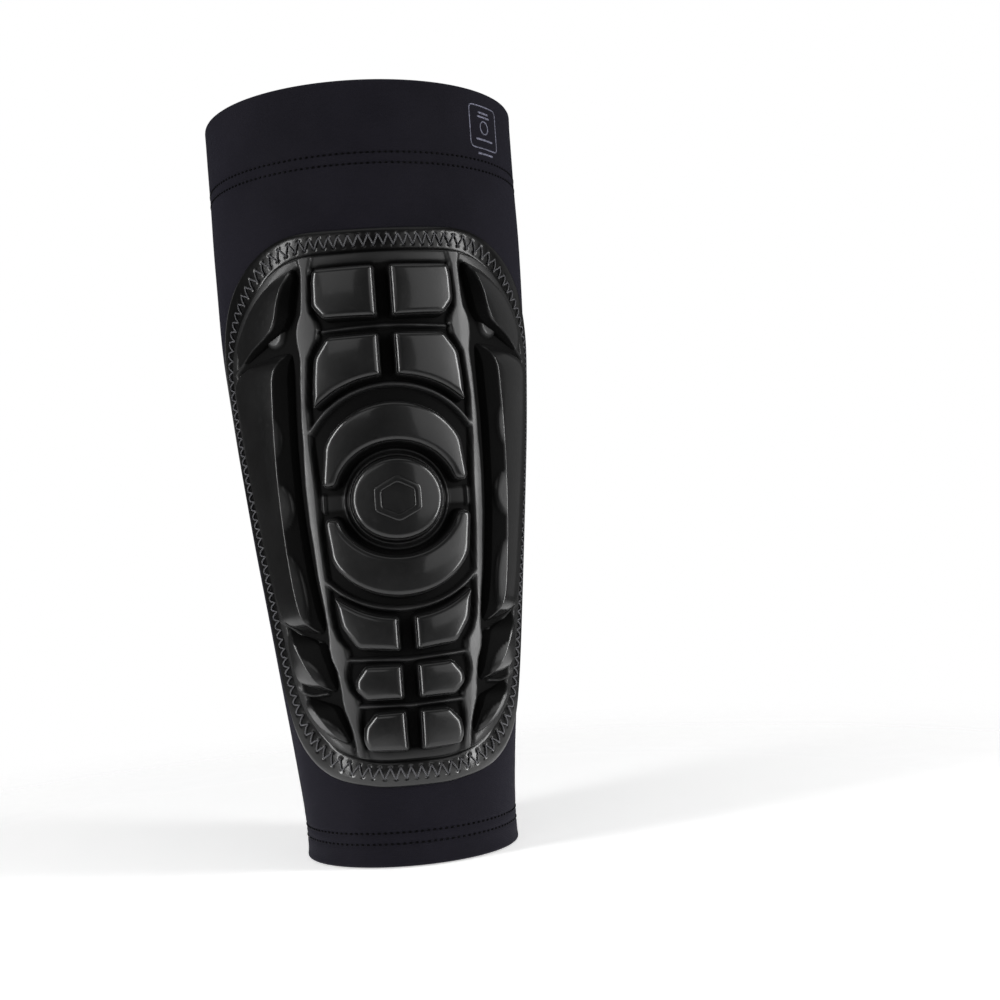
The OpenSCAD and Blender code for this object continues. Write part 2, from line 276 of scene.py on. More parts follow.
# %% Sums of sockets
class Wire:
    """One output socket. Adding, subtracting, multiplying or dividing wires and numbers adds
    Math nodes."""

    def __init__(self, finish, socket):
        self.finish, self.socket = finish, socket

    def sum(self, operation, *values):
        return self.finish.node("ShaderNodeMath", {"operation": operation}, dict(enumerate(values)))

    def __add__(self, other):
        return self.sum("ADD", self, other)

    def __sub__(self, other):
        return self.sum("SUBTRACT", self, other)

    def __rsub__(self, other):
        return self.sum("SUBTRACT", other, self)

    def __mul__(self, other):
        return self.sum("MULTIPLY", self, other)

    __radd__, __rmul__ = __add__, __mul__

    def __truediv__(self, other):
        return self.sum("DIVIDE", self, other)

    def sine(self):
        return self.sum("SINE", self)

    def fold(self, width):
        """Up and down between 0 and width, as a zigzag."""
        return self.sum("PINGPONG", self, width)

    def ramp(self, a, b, c=0.0, d=1.0):
        """Smoothly from c at a to d at b."""
        return self.finish.node("ShaderNodeMapRange", {"interpolation_type": "SMOOTHSTEP"},
                                {"Value": self, "From Min": a, "From Max": b, "To Min": c, "To Max": d})


class Finish:
    """A material in the making."""

    def __init__(self, name, **constants):
        self.material = bpy.data.materials.new(name)
        self.material.use_nodes = True
        self.tree = self.material.node_tree
        self.shader = self.tree.nodes["Principled BSDF"]
        self.fill(self.shader, constants)

    def fill(self, node, sockets):
        for key, value in sockets.items():
            key = key.replace("_", " ") if isinstance(key, str) else key
            if isinstance(value, Wire):
                self.tree.links.new(value.socket, node.inputs[key])
            else:
                node.inputs[key].default_value = value

    def node(self, kind, settings, sockets, output=0):
        node = self.tree.nodes.new(kind)
        for key, value in settings.items():
            setattr(node, key, value)
        self.fill(node, sockets)
        return Wire(self, node.outputs[output])

    def place(self):
        """Object coordinates, in metres."""
        return self.node("ShaderNodeTexCoord", {}, {}, "Object")

    def height(self):
        """Height over the floor, in metres."""
        parts = self.node("ShaderNodeSeparateXYZ", {}, {0: self.place()})
        return Wire(self, parts.socket.node.outputs[2])

    def noise(self, scale, detail=2.0, roughness=0.5):
        return self.node("ShaderNodeTexNoise", {}, {"Vector": self.place(), "Scale": scale,
                                                    "Detail": detail, "Roughness": roughness})

    def mix(self, share, a, b):
        """From colour a to colour b."""
        return self.node("ShaderNodeMix", {"data_type": "RGBA"}, {0: share, 6: a, 7: b}, 2)

    def bump(self, height, distance, strength=1.0):
        return self.node("ShaderNodeBump", {}, {"Height": height, "Distance": distance,
                                                "Strength": strength})

    def painted_shade_surface(self, colour):
        """A second surface, black and without shine: painted shade."""
        dull = self.tree.nodes.new("ShaderNodeBsdfPrincipled")
        self.fill(dull, {"Base Color": colour, "Roughness": 0.75, "Specular IOR Level": 0.1})
        return dull

    def shade_mix(self, share, other):
        """The other surface where share is 0, and the finish itself where it is 1."""
        mixer = self.tree.nodes.new("ShaderNodeMixShader")
        self.fill(mixer, {0: share, 1: Wire(self, other.outputs[0]),
                          2: Wire(self, self.shader.outputs[0])})
        self.tree.links.new(mixer.outputs[0], self.tree.nodes["Material Output"].inputs[0])

    def flat(self):
        """The two flat measures of the piece's own map, in metres."""
        uv = self.node("ShaderNodeUVMap", {"uv_map": "UVMap"}, {})
        parts = self.node("ShaderNodeSeparateXYZ", {}, {0: uv})
        return parts, Wire(self, parts.socket.node.outputs[1])


def grey(value, blue=1.0):
    return (value, value, value * blue, 1)


# %% [markdown]
# ### Knit
# The sleeve is a fine stretch jersey, nearly black with a cool violet cast. Its surface is columns of
# small V-shaped loops. The loops are drawn from the cloth's flat measures, so that they run up the leg,
# and they are in the bump, because they are finer than a vertex could be. The base colour is darker in the
# low places between the loops, as painted shade. Sheen gives the soft light edge of brushed yarn.

# %% Knit
WALE, COURSE = 0.00075, 0.0006
TURN = 6.2832


def knit_finish():
    f = Finish("stretch_knit", Roughness=0.82, Sheen_Weight=0.07, Sheen_Roughness=0.5,
               Sheen_Tint=(0.5, 0.5, 0.7, 1), Specular_IOR_Level=0.12)
    across, along = f.flat()
    wale = (across / WALE).fold(0.5)
    loop = ((along / COURSE + wale * 1.3) * TURN).sine() * 0.5 + 0.5
    leg = (wale * TURN).sine() * 0.5 + 0.5
    height = loop * 0.55 + leg * 0.45
    fibre = f.noise(2600, 3, 0.6)
    cloud = f.noise(28, 3, 0.55)
    thread = f.mix(cloud.ramp(0.35, 0.65),
                   (0.0058, 0.0051, 0.0090, 1), (0.0088, 0.0078, 0.0126, 1))
    # Painted shade: the yarn's colour goes near black in the low places between the loops.
    shaded_colour = f.mix(height.ramp(0.05, 0.75, 0.35, 1.0) * fibre.ramp(0.3, 0.7, 0.7, 1.0),
                 (0.0022, 0.002, 0.0036, 1), thread)
    f.fill(f.shader, {"Base Color": shaded_colour, "Roughness": fibre.ramp(0.3, 0.7, 0.74, 0.9),
                      "Normal": f.bump(height + fibre * 0.35, 0.00012, 0.7)})
    return f.material


# %% [markdown]
# ### Moulded film
# The foam is covered by a thin black film, formed hot over it. It is smooth and satin, with a faint
# orange-peel from the mould and a few dull patches from handling. A weak clear coat gives the crisp line
# of light along each bevel, and the sewn border has more of it along its lowest rim. In the grooves, on
# the lower walls of the blocks and on the inner faces of the wing blocks the film is painted black and
# rough: that is painted shade, and an attribute of each piece says where.

# %% Moulded film
RIM_FADE = (0.031, 0.038)


def film_finish(name, shine, peel, tone, coat, gloss=0.5, rim_coat=0.0):
    """shine is the least roughness, peel the grain's scale, tone the grey, and coat the clear
    coat, with rim_coat more of it below the heights in RIM_FADE."""
    f = Finish(name, Specular_IOR_Level=gloss, Coat_Roughness=0.1, IOR=1.5)
    cloud = f.noise(45, 3, 0.55)
    scuff = f.noise(420, 5, 0.65)
    grain = f.noise(peel, 2, 0.5)
    pitting = f.noise(5200, 2, 0.5)
    base = f.mix(cloud.ramp(0.35, 0.7), grey(0.8 * tone, 1.02), grey(1.2 * tone, 1.02))
    f.fill(f.shader, {
        "Base Color": f.mix(scuff.ramp(0.6, 0.78, 0.0, 0.4), base, grey(0.8 * tone + 0.008)),
        "Roughness": cloud.ramp(0.3, 0.7, shine, shine + 0.07) + scuff.ramp(0.5, 0.75, 0.0, 0.09),
        "Coat Weight": cloud.ramp(0.3, 0.7, coat, 0.6 * coat)
                       + rim_coat * f.height().ramp(*RIM_FADE, 1.0, 0.0),
        "Normal": f.bump(grain * 0.8 + pitting * 0.2, 0.00006, 0.35),
    })
    # Painted shade: where a piece's attribute is low, in grooves and on shaded walls, the film is mixed
    # into a black dull surface.
    unshaded_part = f.node("ShaderNodeAttribute", {"attribute_name": "unshaded_share"}, {}, "Fac")
    f.shade_mix(unshaded_part * (0.85 + 0.15 * cloud), f.painted_shade_surface(grey(0.0011)))
    return f.material


# %% [markdown]
# ### Thread and print
# Thread is two plies twisted together, so its bump is a slanted wave along its own length, and its colour
# is darker in the grooves of that wave as painted shade.
# The border is sewn with a glossy charcoal thread and the hems with a black one. The print is
# a thin lilac-grey ink, a little broken where the knit shows through.

# %% Thread and print
def thread_finish(name, colour, sheen, gloss=0.5):
    f = Finish(name, Roughness=0.5, Sheen_Weight=sheen, Sheen_Tint=(0.8, 0.8, 0.9, 1),
               Specular_IOR_Level=gloss)
    around, along = f.flat()
    twist = ((along * 1500 + around * 0.5) * TURN).sine() * 0.5 + 0.5
    fuzz = f.noise(3000, 3, 0.6)
    # Painted shade: the thread's colour drops to 0.45 of itself in the grooves between the plies.
    shaded_colour = tuple(0.45 * c for c in colour[:3]) + (1,)
    f.fill(f.shader, {"Base Color": f.mix(twist.ramp(0.1, 0.7), shaded_colour, colour),
                      "Roughness": fuzz.ramp(0.3, 0.7, 0.36, 0.58),
                      "Normal": f.bump(twist + fuzz * 0.2, 0.0001, 0.6)})
    return f.material


def print_finish():
    f = Finish("printed_ink", Roughness=0.6)
    wear = f.noise(1500, 3, 0.6)
    f.fill(f.shader, {"Base Color": f.mix(wear.ramp(0.35, 0.62),
                                          (0.05, 0.05, 0.07, 1), (0.2, 0.2, 0.27, 1)),
                      "Roughness": wear.ramp(0.3, 0.7, 0.5, 0.7),
                      "Normal": f.bump(wear, 0.00004, 0.5)})
    return f.material


knit = knit_finish()
block_film = film_finish("block_film", 0.3, 900, 0.0065, 0.7, 0.42)
# Painted light: the web is the same film as the blocks', given a lighter grey for the light on its rails.
web_film = film_finish("web_film", 0.4, 1100, 0.016, 0.2)
border_film = film_finish("border_film", 0.26, 1400, 0.003, 0.3, 0.3, 0.7)
border_thread = thread_finish("border_thread", (0.07, 0.07, 0.075, 1), 0.3)
hem_thread = thread_finish("hem_thread", (0.0012, 0.0011, 0.0016, 1), 0.0, 0.05)
seam_thread = thread_finish("seam_thread", (0.016, 0.015, 0.022, 1), 0.25)
ink = print_finish()
print("materials:", len(bpy.data.materials))

# %% [markdown]
# ## The knit sleeve
# The sleeve is cut as a front and a calf piece, joined by a flat seam on each side. At the
# knee and the ankle the same cloth is folded in on itself and stitched down, with a soft
# elastic tape in the knee fold. A tube with a thickness modifier would have cut, square rims.
# So the cloth's own section is drawn instead: up the inside of the ankle hem, round the fold,
# up the outside, over the knee fold and down again inside, one millimetre thick all along.
# That section is carried round the leg. Five pieces share it: the shin piece rides on the shin's body, and
# the other four only have their place baked in.

# %% The cloth's section, from raw edge to raw edge
CLOTH_T = 1.0
ROW_HEIGHTS = [8, 11.8, 246, 249.8]
KNEE_GAP, ANKLE_GAP = 1.12, 0.3


def hem_fold(middle_h, middle_z, radius, start, stop):
    """Points round a fold: a half circle from one angle to the other."""
    turn = np.linspace(start, stop, 9)
    return np.stack([middle_h + radius * np.cos(turn), middle_z + radius * np.sin(turn)], -1)


ankle_fold_r = (CLOTH_T + ANKLE_GAP) / 2
knee_fold_r = (CLOTH_T + KNEE_GAP) / 2
outside = np.unique(np.concatenate([np.arange(3, 273, 3.0), [z + d for z in ROW_HEIGHTS
                                                             for d in (-1.6, -0.8, 0, 0.8, 1.6)]]))
inside_ankle = np.linspace(12.4, 2, 5)
inside_knee = np.linspace(272, 244.6, 9)
middle_line = np.concatenate([
    np.stack([0 * inside_ankle - CLOTH_T / 2 - 2 * ankle_fold_r, inside_ankle], -1),
    hem_fold(-CLOTH_T / 2 - ankle_fold_r, ankle_fold_r + CLOTH_T / 2, ankle_fold_r, np.pi, 2 * np.pi),
    np.stack([0 * outside - CLOTH_T / 2, outside], -1),
    hem_fold(-CLOTH_T / 2 - knee_fold_r, GUARD_H - knee_fold_r - CLOTH_T / 2, knee_fold_r, 0, np.pi),
    np.stack([0 * inside_knee - CLOTH_T / 2 - 2 * knee_fold_r, inside_knee], -1),
])
ahead = np.gradient(middle_line, axis=0)
ahead /= np.linalg.norm(ahead, axis=1, keepdims=True)
sideways = np.stack([ahead[:, 1], -ahead[:, 0]], -1) * CLOTH_T / 2
section = np.concatenate([middle_line + sideways, (middle_line - sideways)[::-1]])
path = distance_along(middle_line)
section_path = np.concatenate([path, path[::-1]])
print("cloth from raw edge to raw edge:", round(path[-1], 1), "mm")

# %% [markdown]
# A worn sleeve isn't a perfect cone. Its cloth dips a little between where it is held, and
# each stitch row pulls a shallow channel. Both are small depths added to the section.

# %% Cloth shape and pieces
def give(a, z):
    """How far the cloth dips in, in mm: three slow waves, and a channel at each stitch row."""
    waves = (np.sin(3.1 * a + z * 0.031 + 0.6) + np.sin(5.3 * a - z * 0.047 + 2.1)
             + np.sin(z * 0.083 + 1.7 * a + 4.2)) / 3
    channels = sum(np.exp(-(((z - row) / 0.9) ** 2)) for row in ROW_HEIGHTS)
    return 0.3 * (1 + waves) + 0.28 * channels


def cloth_shape(angle_from, angle_to):
    """The cloth between two angles, each given as a function of z: s runs from one to the
    other, and t is a point's number round the section."""
    count = len(section)
    numbers = np.arange(count + 1)
    ring = np.concatenate([section, section[:1]])

    def shape(s, t):
        t = np.mod(t, count)
        h, z = np.interp(t, numbers, ring[:, 0]), np.interp(t, numbers, ring[:, 1])
        a = angle_from(z) + s * (angle_to(z) - angle_from(z))
        return at_angle(a, z, h - give(a, z) * np.clip(np.minimum(z, GUARD_H - z) / 3, 0, 1))

    return shape


def cloth_piece(name, angle_from, angle_to, columns):
    """One panel, with its flat map: the distance round and the distance along the cloth."""
    shape = cloth_shape(angle_from, angle_to)
    s, t = np.meshgrid(np.linspace(0, 1, columns), np.arange(len(section), dtype=float),
                       indexing="ij")
    z = section[:, 1][None]
    a = angle_from(z) + s * (angle_to(z) - angle_from(z))
    uv = MM * np.stack([a * leg_radius(z), np.broadcast_to(section_path, s.shape)], -1)
    piece = swept_solid(name, shape(s, t), slopes_normal(shape, s, t, 0.004, 0.5), uv)
    wide = float(np.ptp(a * leg_radius(z), axis=0).max())
    return piece, (wide * MM, path[-1] * MM)


def hinge_angle(sign):
    return lambda z: sign * split_u(z) / leg_radius(z)


def fixed_angle(angle):
    return lambda z: angle + 0 * z


PANELS = {"shin": (hinge_angle(-1), hinge_angle(1))}
for side, sign in SIDES.items():
    PANELS[side + "_side"] = (hinge_angle(sign), fixed_angle(sign * SEAM))
    PANELS[side + "_calf"] = (fixed_angle(sign * SEAM), fixed_angle(sign * np.pi))


def move_with(piece, panel):
    """The piece goes with its panel: pieces of the shin panel ride on the shin's body, and the others only
    have their place baked in.
    """
    side, _, part = panel.partition("_")
    if part == "side":
        over_groove(piece, side)
    elif part == "calf":
        over_calf(piece)
    else:
        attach(piece, "shin_and_sleeve")


stands_for = {"shin_knit": ["shin_panel"], "left_side_knit": ["left_side_panel"],
              "right_side_knit": ["right_side_panel"], "left_calf_knit": ["calf_panel", "top_cuff"],
              "right_calf_knit": ["bottom_cuff", "top_elastic"]}
# the pattern piece narrows towards the ankle, so it fills only this share of its rectangle
PATTERN_SHARE = 0.86
for panel, edges in PANELS.items():
    name = panel + "_knit"
    piece, flat = cloth_piece(name, *edges, 29 if panel == "shin" else 45)
    finished(piece, knit, stands_for[name])
    PATTERN_SHARE * flat[0] * flat[1]
    move_with(piece, panel)
    print(name, "flat", np.round(flat, 3))

# %% [markdown]
# ## Outlines of the pad
# The pad is symmetric, so its outline is drawn on one side of the shin only. The lip is the
# edge of the thick web, given by points (u, z) with a smooth curve through them. Outside it the
# film lies flat on the cloth as a border that is sewn down, and its width is the third number.

# %% Pad outline
LIP = [(0, 37, 9.4), (10, 37.1, 9.4), (16, 38, 9.6), (22, 39.7, 10.4), (27, 42.2, 11.6),
       (32.3, 46.6, 13), (38, 53, 14), (41.4, 60, 14), (44.6, 70, 13.5), (48.4, 87, 13),
       (53.5, 112, 12.6), (57.4, 132, 12.4), (60, 147, 12.4), (62.2, 162, 12.6), (63, 173, 13.2),
       (62.4, 180, 14), (60.4, 186, 14.4), (57.3, 191.5, 14.4), (54, 196, 14.2),
       (50, 200.5, 13.5), (44.5, 206, 12), (39.5, 209.8, 10.7), (33.5, 212.6, 9.8),
       (26, 213.9, 9.2), (13, 213.9, 8.9), (0, 213.9, 8.8)]
lip_line = smooth_line(LIP, 0.8)
border_width, lip_line = lip_line[:, 2], lip_line[:, :2]


def lip_u(z):
    """The lip as a function u(z)."""
    return np.interp(z, lip_line[:, 1], lip_line[:, 0])


print("half the lip:", len(lip_line), "points, widest", lip_line[:, 0].max().round(1), "mm")

# %% [markdown]
# ## The web's relief
# Between the blocks, the film lies on thin foam with raised rails, rings and ridges. Its
# height is painted on a fine lattice of (u, z) points, as a mould maker would cut it: first
# the floor, then each ridge as a height that falls off with the distance from its line, and at
# last everything is softened a little, because hot film rounds every edge.

# %% Lattice and brushes
STEP = 0.25
lattice_u, lattice_z = np.arange(0, 76, STEP), np.arange(30, 222, STEP)
U, Z = np.meshgrid(lattice_u, lattice_z, indexing="ij")
FLOOR, LIP_TOP = 2.6, 3.5
DISC_Z = 127


def distance_to(line):
    """Each lattice point's distance from a line: the least over its straight pieces."""
    best = np.full(U.shape, 1e9)
    for (au, az), (bu, bz) in zip(line[:-1], line[1:]):
        du, dz = bu - au, bz - az
        share = np.clip(((U - au) * du + (Z - az) * dz) / (du * du + dz * dz), 0, 1)
        best = np.minimum(best, np.hypot(U - au - share * du, Z - az - share * dz))
    return best


def within(line):
    """Whether each lattice point is inside a half outline that starts and ends at u = 0."""
    count = np.zeros(U.shape, int)
    for (au, az), (bu, bz) in zip(line[:-1], line[1:]):
        if az != bz:
            crosses = (Z >= min(az, bz)) & (Z < max(az, bz))
            count += crosses & (au + (Z - az) / (bz - az) * (bu - au) > U)
    return count % 2 == 1


def step_up(x, width):
    """0 before 0, 1 after width, smooth between."""
    f = np.clip(x / width, 0, 1)
    return f * f * (3 - 2 * f)


def band(height, gap, half_width, rise, shoulder=0.8):
    """Raises height by a flat-topped band where gap, the distance from its line, is small."""
    return np.maximum(height, FLOOR + rise * step_up(half_width + shoulder / 2 - gap, shoulder))


def soften(height, reach):
    """A blur: the weighted mean of the neighbours on both axes, mirrored at u = 0."""
    steps = np.arange(-3, 4)
    weights = np.exp(-((steps * STEP / reach) ** 2) / 2)
    weights /= weights.sum()
    wide = np.pad(height, ((3, 3), (3, 3)), mode="reflect")
    wide = sum(w * wide[3 + k: wide.shape[0] - 3 + k] for k, w in zip(steps, weights))
    return sum(w * wide[:, 3 + k: wide.shape[1] - 3 + k] for k, w in zip(steps, weights))


# %% [markdown]
# The rails are given by height, middle and half width. They widen into flat nodes where a
# ridge between two rows meets them.

# %% Paint the web
WEB_FOOT = 1.0
RAIL = np.array([(37, 16.8, 1.6), (43, 17.5, 1.2), (48, 18.4, 1.1), (52, 19, 1.6),
                 (55.5, 19.4, 2.4), (59, 19.9, 2.5), (62, 21, 1.5), (66, 21.8, 1.2),
                 (69, 22, 1.5), (73, 22.3, 2.8), (77, 23, 2.8), (80, 24, 1.6), (84, 24.8, 1.0),
                 (90, 25.5, 0.9), (95, 25.9, 1.1), (102, 26.6, 1.4), (112, 27.4, 1.4),
                 (120, 28, 1.6), (134, 28.5, 1.8), (142, 28.7, 1.5), (148, 28.8, 1.2),
                 (155, 28.8, 1.3), (162, 28.8, 1.0), (170, 28.3, 1.2), (178, 27.6, 1.3),
                 (181, 27, 2.2), (184, 26.4, 3.3), (188, 26, 3.7), (191, 26, 3), (194, 26.1, 1.6),
                 (198, 26, 1.2), (204, 25.6, 1.2), (209, 25.3, 1.3), (213, 25.2, 2.2)])
GROOVE = [(18, 37), (18.8, 45), (20.6, 54), (22.8, 62), (24.4, 70), (26, 80), (27, 90),
          (28.4, 99), (30, 112), (31.2, 127), (31.6, 140), (31.2, 150), (30.8, 165), (30.6, 177),
          (31, 185), (30.6, 192), (29, 200), (28, 209)]
WING_RIDGES = [[(39.5, 187), (46, 184.2), (53.5, 181), (60.5, 176.5)],
               [(29, 79), (35, 81), (41, 84.5), (47.5, 87.5)],
               [(28, 61.2), (34, 60.6), (38, 61.6), (41, 64)]]


def arc(middle_z, radius, first_u, last_u, side):
    """Points on a circle about u = 0, above or below its middle."""
    u = np.linspace(first_u, last_u, 24)
    return np.stack([u, middle_z + side * np.sqrt(radius**2 - u**2)], -1)


def paint_web():
    """The web's height over the cloth at every lattice point."""
    lip = distance_to(lip_line) * np.where(within(lip_line), 1, -1)
    height = np.full(U.shape, FLOOR)
    height = np.maximum(height, FLOOR + (LIP_TOP - FLOOR) * step_up(4.6 - lip, 1.0))
    height += 0.2 * np.clip(1 - ((lip - 2) / 2) ** 2, 0, 1)
    height -= 1.4 * step_up(1.9 - distance_to(GROOVE), 1.2)
    rail = np.abs(U - np.interp(Z, RAIL[:, 0], RAIL[:, 1])) - np.interp(Z, RAIL[:, 0], RAIL[:, 2])
    height = band(height, rail, 0.4, 2.2, 0.6)
    height = band(height, np.abs(Z - 187.6 + U * 0.035) + 9 * (U > 21), 0.6, 2.0)
    height = band(height, np.abs(Z - 71.4 - U * 0.06) + 9 * (U > 21), 0.7, 2.0)
    height = band(height, np.abs(Z - 55.8 - U * 0.03) + 9 * (U > 18), 0.7, 2.0)
    height = band(height, distance_to(arc(135, 32, 0, 27, 1)), 0.8, 2.2)
    height = band(height, distance_to(arc(123, 34, 0, 25, -1)), 0.8, 2.2)
    collar = np.hypot(U, Z - DISC_Z)
    height = band(height, np.abs(collar - 15.4), 0.35, 1.9, 0.5)
    height = band(height, np.abs(collar - 17.2), 0.4, 1.3, 0.6)
    bridge = np.maximum(np.abs(Z - DISC_Z) - 2.8, np.maximum(16 - U, U - 28.5))
    height = band(height, bridge, 0.1, 0.5, 1.6)
    upright = np.maximum(np.abs(Z - DISC_Z) - 3.2, np.abs(U - 24.3) - 0.3)
    height = band(height, upright, 0.1, 2.4)
    for line in WING_RIDGES:
        height = band(height, distance_to(smooth_line(line, 2)), 0.45, 1.6)
    node = np.hypot((U - 38.8) / 4.0, (Z - 188.4) / 4.8) - 1
    height = band(height, 3.6 * node, 0.1, 1.6, 1.6)
    height = soften(height, 0.28)
    edge = np.clip(lip / 0.75, 0, 1)
    return WEB_FOOT + (height - WEB_FOOT) * np.sqrt(np.clip(1 - (1 - edge) ** 2, 0, 1))


web_height = paint_web()


def web_h(u, z):
    """The web's height at any place: the four lattice points round it, blended."""
    x = np.clip(np.abs(u) / STEP, 0, len(lattice_u) - 1.001)
    y = np.clip((z - lattice_z[0]) / STEP, 0, len(lattice_z) - 1.001)
    i, j = x.astype(int), y.astype(int)
    x, y = x - i, y - j
    return ((1 - x) * ((1 - y) * web_height[i, j] + y * web_height[i, j + 1])
            + x * ((1 - y) * web_height[i + 1, j] + y * web_height[i + 1, j + 1]))


print("web from", web_height.min().round(2), "to", web_height.max().round(2), "mm over the cloth")

# %% [markdown]
# The web is laid round the leg row by row, from the lip on one side to the lip on the other,
# with extra points close to the lip so that its wall stays crisp. It has an underside, so it is
# a closed ply of foam and film. The shin part and the two wings are cut at the same line, and
# take the whole web's normals.

# %% Web pieces
NEAR_EDGE = np.array([0, 0.06, 0.14, 0.25, 0.4, 0.58, 0.8])
SLOPE_STEP = 0.12


def toward_edge(width, count, outer_edge):
    """Shares from 0 to 1 of each width: even, with close ones at the end if it is outer."""
    even = np.linspace(0, 1, count)[None] * np.ones_like(width)[:, None]
    if not outer_edge:
        return even
    lead = NEAR_EDGE[None] / np.maximum(width, 8)[:, None]
    return np.concatenate([((1 - lead[:, -1:]) * even)[:, :-1], 1 - lead[:, ::-1]], 1)


def web_piece(name, u_from, u_to, z_from, z_to, count, outer_edge):
    """The web between two edges, each a function u(z): rows of points from one to the other."""
    rows = np.concatenate([z_from + NEAR_EDGE, np.arange(z_from + 1.2, z_to - 1, 0.5),
                           z_to - NEAR_EDGE[::-1]])
    a, b = u_from(rows), u_to(rows)
    u = a[:, None] + toward_edge(np.abs(b - a), count, outer_edge) * (b - a)[:, None]
    z = rows[:, None] + 0 * u
    normals = slopes_normal(lambda s, t: on_leg(s, t, web_h(s, t)), u, z, SLOPE_STEP, SLOPE_STEP)
    # Painted shade: the film in the web's valleys, below the rails and ridges, is painted black.
    return ply(name, on_leg(u, z, web_h(u, z)), on_leg(u, z, WEB_FOOT + 0 * u), normals,
               step_up(web_h(u, z) - 2.7, 1.5))


def shin_edge(z):
    """Where the shin part of the web ends: at the flex groove, or at the lip."""
    return np.minimum(split_u(z), lip_u(z))


def wing_edges(sign):
    """The inner and outer edge of a wing's web, as functions of z."""
    return lambda z: sign * split_u(z), lambda z: sign * lip_u(z)


web = {"shin_web": web_piece("shin_web", lambda z: -shin_edge(z), shin_edge, 37.0, 213.9, 101,
                             False)}
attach(web["shin_web"], "shin_and_sleeve")
for side, sign in SIDES.items():
    name = side + "_web"
    web[name] = web_piece(name, *wing_edges(sign), 41.1, 213.9, 78, True)
    over_groove(web[name], side)
web_nodes = {"shin_web": "web_plate", "left_web": "left_web_plate", "right_web": "right_web_plate"}
for name, piece in web.items():
    finished(piece, web_film, [web_nodes[name]])
    print(name, len(piece.data.polygons), "faces")

# %% [markdown]
# ## The sewn border
# The border is a strip that follows the lip: across it the height rises round the outer edge,
# swells a little, dips at every needle hole, and runs in under the web. It is cut across where
# its outer edge crosses the flex line, which makes four pieces.

# %% Border surface
STITCH_OUT, ZIGZAG_H, PITCH, THREAD_R = 4.4, 4.0, 3.4, 0.26
BORDER_H, ROUNDING = 1.35, 2.6
along_lip = distance_along(lip_line)
end = along_lip[-1]
stitches = int(round(end / (PITCH / 2)))
hole_at = np.linspace(0, end, stitches + 1)


def border_place(s, out):
    """(u, z) at a distance s along the half lip and out from it."""
    line = [np.interp(s, along_lip, lip_line[:, k]) for k in (0, 1)]
    reach = 3
    ahead = [np.interp(s + reach, along_lip, lip_line[:, k])
             - np.interp(s - reach, along_lip, lip_line[:, k]) for k in (0, 1)]
    size = np.hypot(*ahead)
    return line[0] + out * ahead[1] / size, line[1] - out * ahead[0] / size


def width_at(s):
    return np.interp(s, along_lip, border_width)


def stitch_out(s):
    """The zigzag's middle: further out where the border is wider."""
    return STITCH_OUT + 0.2 * (width_at(s) - 9)


def border_h(s, out):
    """Height of the border: round at the edge, with a swell, needle holes and a dip at the lip."""
    d = width_at(s) - out
    h = BORDER_H * np.sqrt(np.clip(1 - (1 - np.clip(d / ROUNDING, 0, 1)) ** 2, 0, 1))
    h = h + 0.2 * np.sin(np.pi * np.clip(d / width_at(s), 0, 1)) ** 2
    k = np.clip(np.searchsorted(hole_at, s), 1, stitches)
    for near in (k - 1, k):
        hole_out = stitch_out(s) + np.where(near % 2, -0.5, 0.5) * ZIGZAG_H
        away = np.hypot(s - hole_at[near], out - hole_out)
        h = h - 0.4 * np.exp(-((away / 0.5) ** 2))
    return h - 0.5 * step_up(1.4 - out, 1.2)


def unfold(s):
    """A place before the start or past the end of the half lip lies on the other side."""
    back = np.where(s < 0, -s, np.where(s > end, 2 * end - s, s))
    return back, np.where((s < 0) | (s > end), -1, 1)


def border_piece(name, start, stop, sign=1):
    """The strip from one place along the lip to another; mirrored with sign -1."""
    s = np.arange(start, stop + 0.01, (stop - start) / np.ceil((stop - start) / 0.55))[:, None]
    d = np.concatenate([NEAR_EDGE, 1.05 + np.linspace(0, 1, 22) ** 1.1 * 1.2])[None]
    share = np.clip((d - 1.05) / 1.2, 0, 1)
    d = np.where(d > 1.05, 1.05 + share * (width_at(unfold(s)[0]) + 0.2), d)

    def surface(s, d, height):
        place, flip = unfold(s)
        u, z = border_place(place, width_at(place) - d)
        return on_leg(sign * flip * u, z, height(place, width_at(place) - d))

    normals = slopes_normal(lambda s, d: surface(s, d, border_h), s + 0 * d, d, 0.1, 0.05)
    under = surface(s, d, lambda place, out: 0.1 + 0 * out)
    return ply(name, surface(s, d, border_h), under, normals)


def place_at_x(x, upper):
    """How far along the lip the border's outer edge reaches x, at the bottom or the top."""
    u, z = border_place(along_lip, border_width)
    xs = leg_radius(z) * np.sin(u / leg_radius(z))
    rows = np.flatnonzero((z > 125) == upper)
    order = rows[np.argsort(xs[rows])]
    return float(np.interp(x, xs[order], along_lip[order]))


# %% Border pieces
low_cut, high_cut = place_at_x(HINGE_X, False), place_at_x(HINGE_X, True)
borders = {"bottom_border": border_piece("bottom_border", -low_cut, low_cut),
           "top_border": border_piece("top_border", high_cut, 2 * end - high_cut)}
for side, sign in SIDES.items():
    borders[side + "_border"] = border_piece(side + "_border", low_cut, high_cut, sign)
    over_groove(borders[side + "_border"], side)
border_nodes = {"bottom_border": ["base_sheet"], "top_border": [],
                "left_border": ["left_base_sheet"], "right_border": ["right_base_sheet"]}
for name, piece in borders.items():
    finished(piece, border_film, border_nodes[name])
    if name in ("bottom_border", "top_border"):
        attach(piece, "shin_and_sleeve")
    print(name, len(piece.data.polygons), "faces")

# %% [markdown]
# ## Sewing
# The border is held by a zigzag: one thread that crosses from hole to hole. It is a round
# section carried along a path whose height is a low arch between two holes. The hems have two
# rows of short straight stitches each, and the side seams a flat lacing of crossing threads.
# Many small solids go into one mesh, each with few faces.

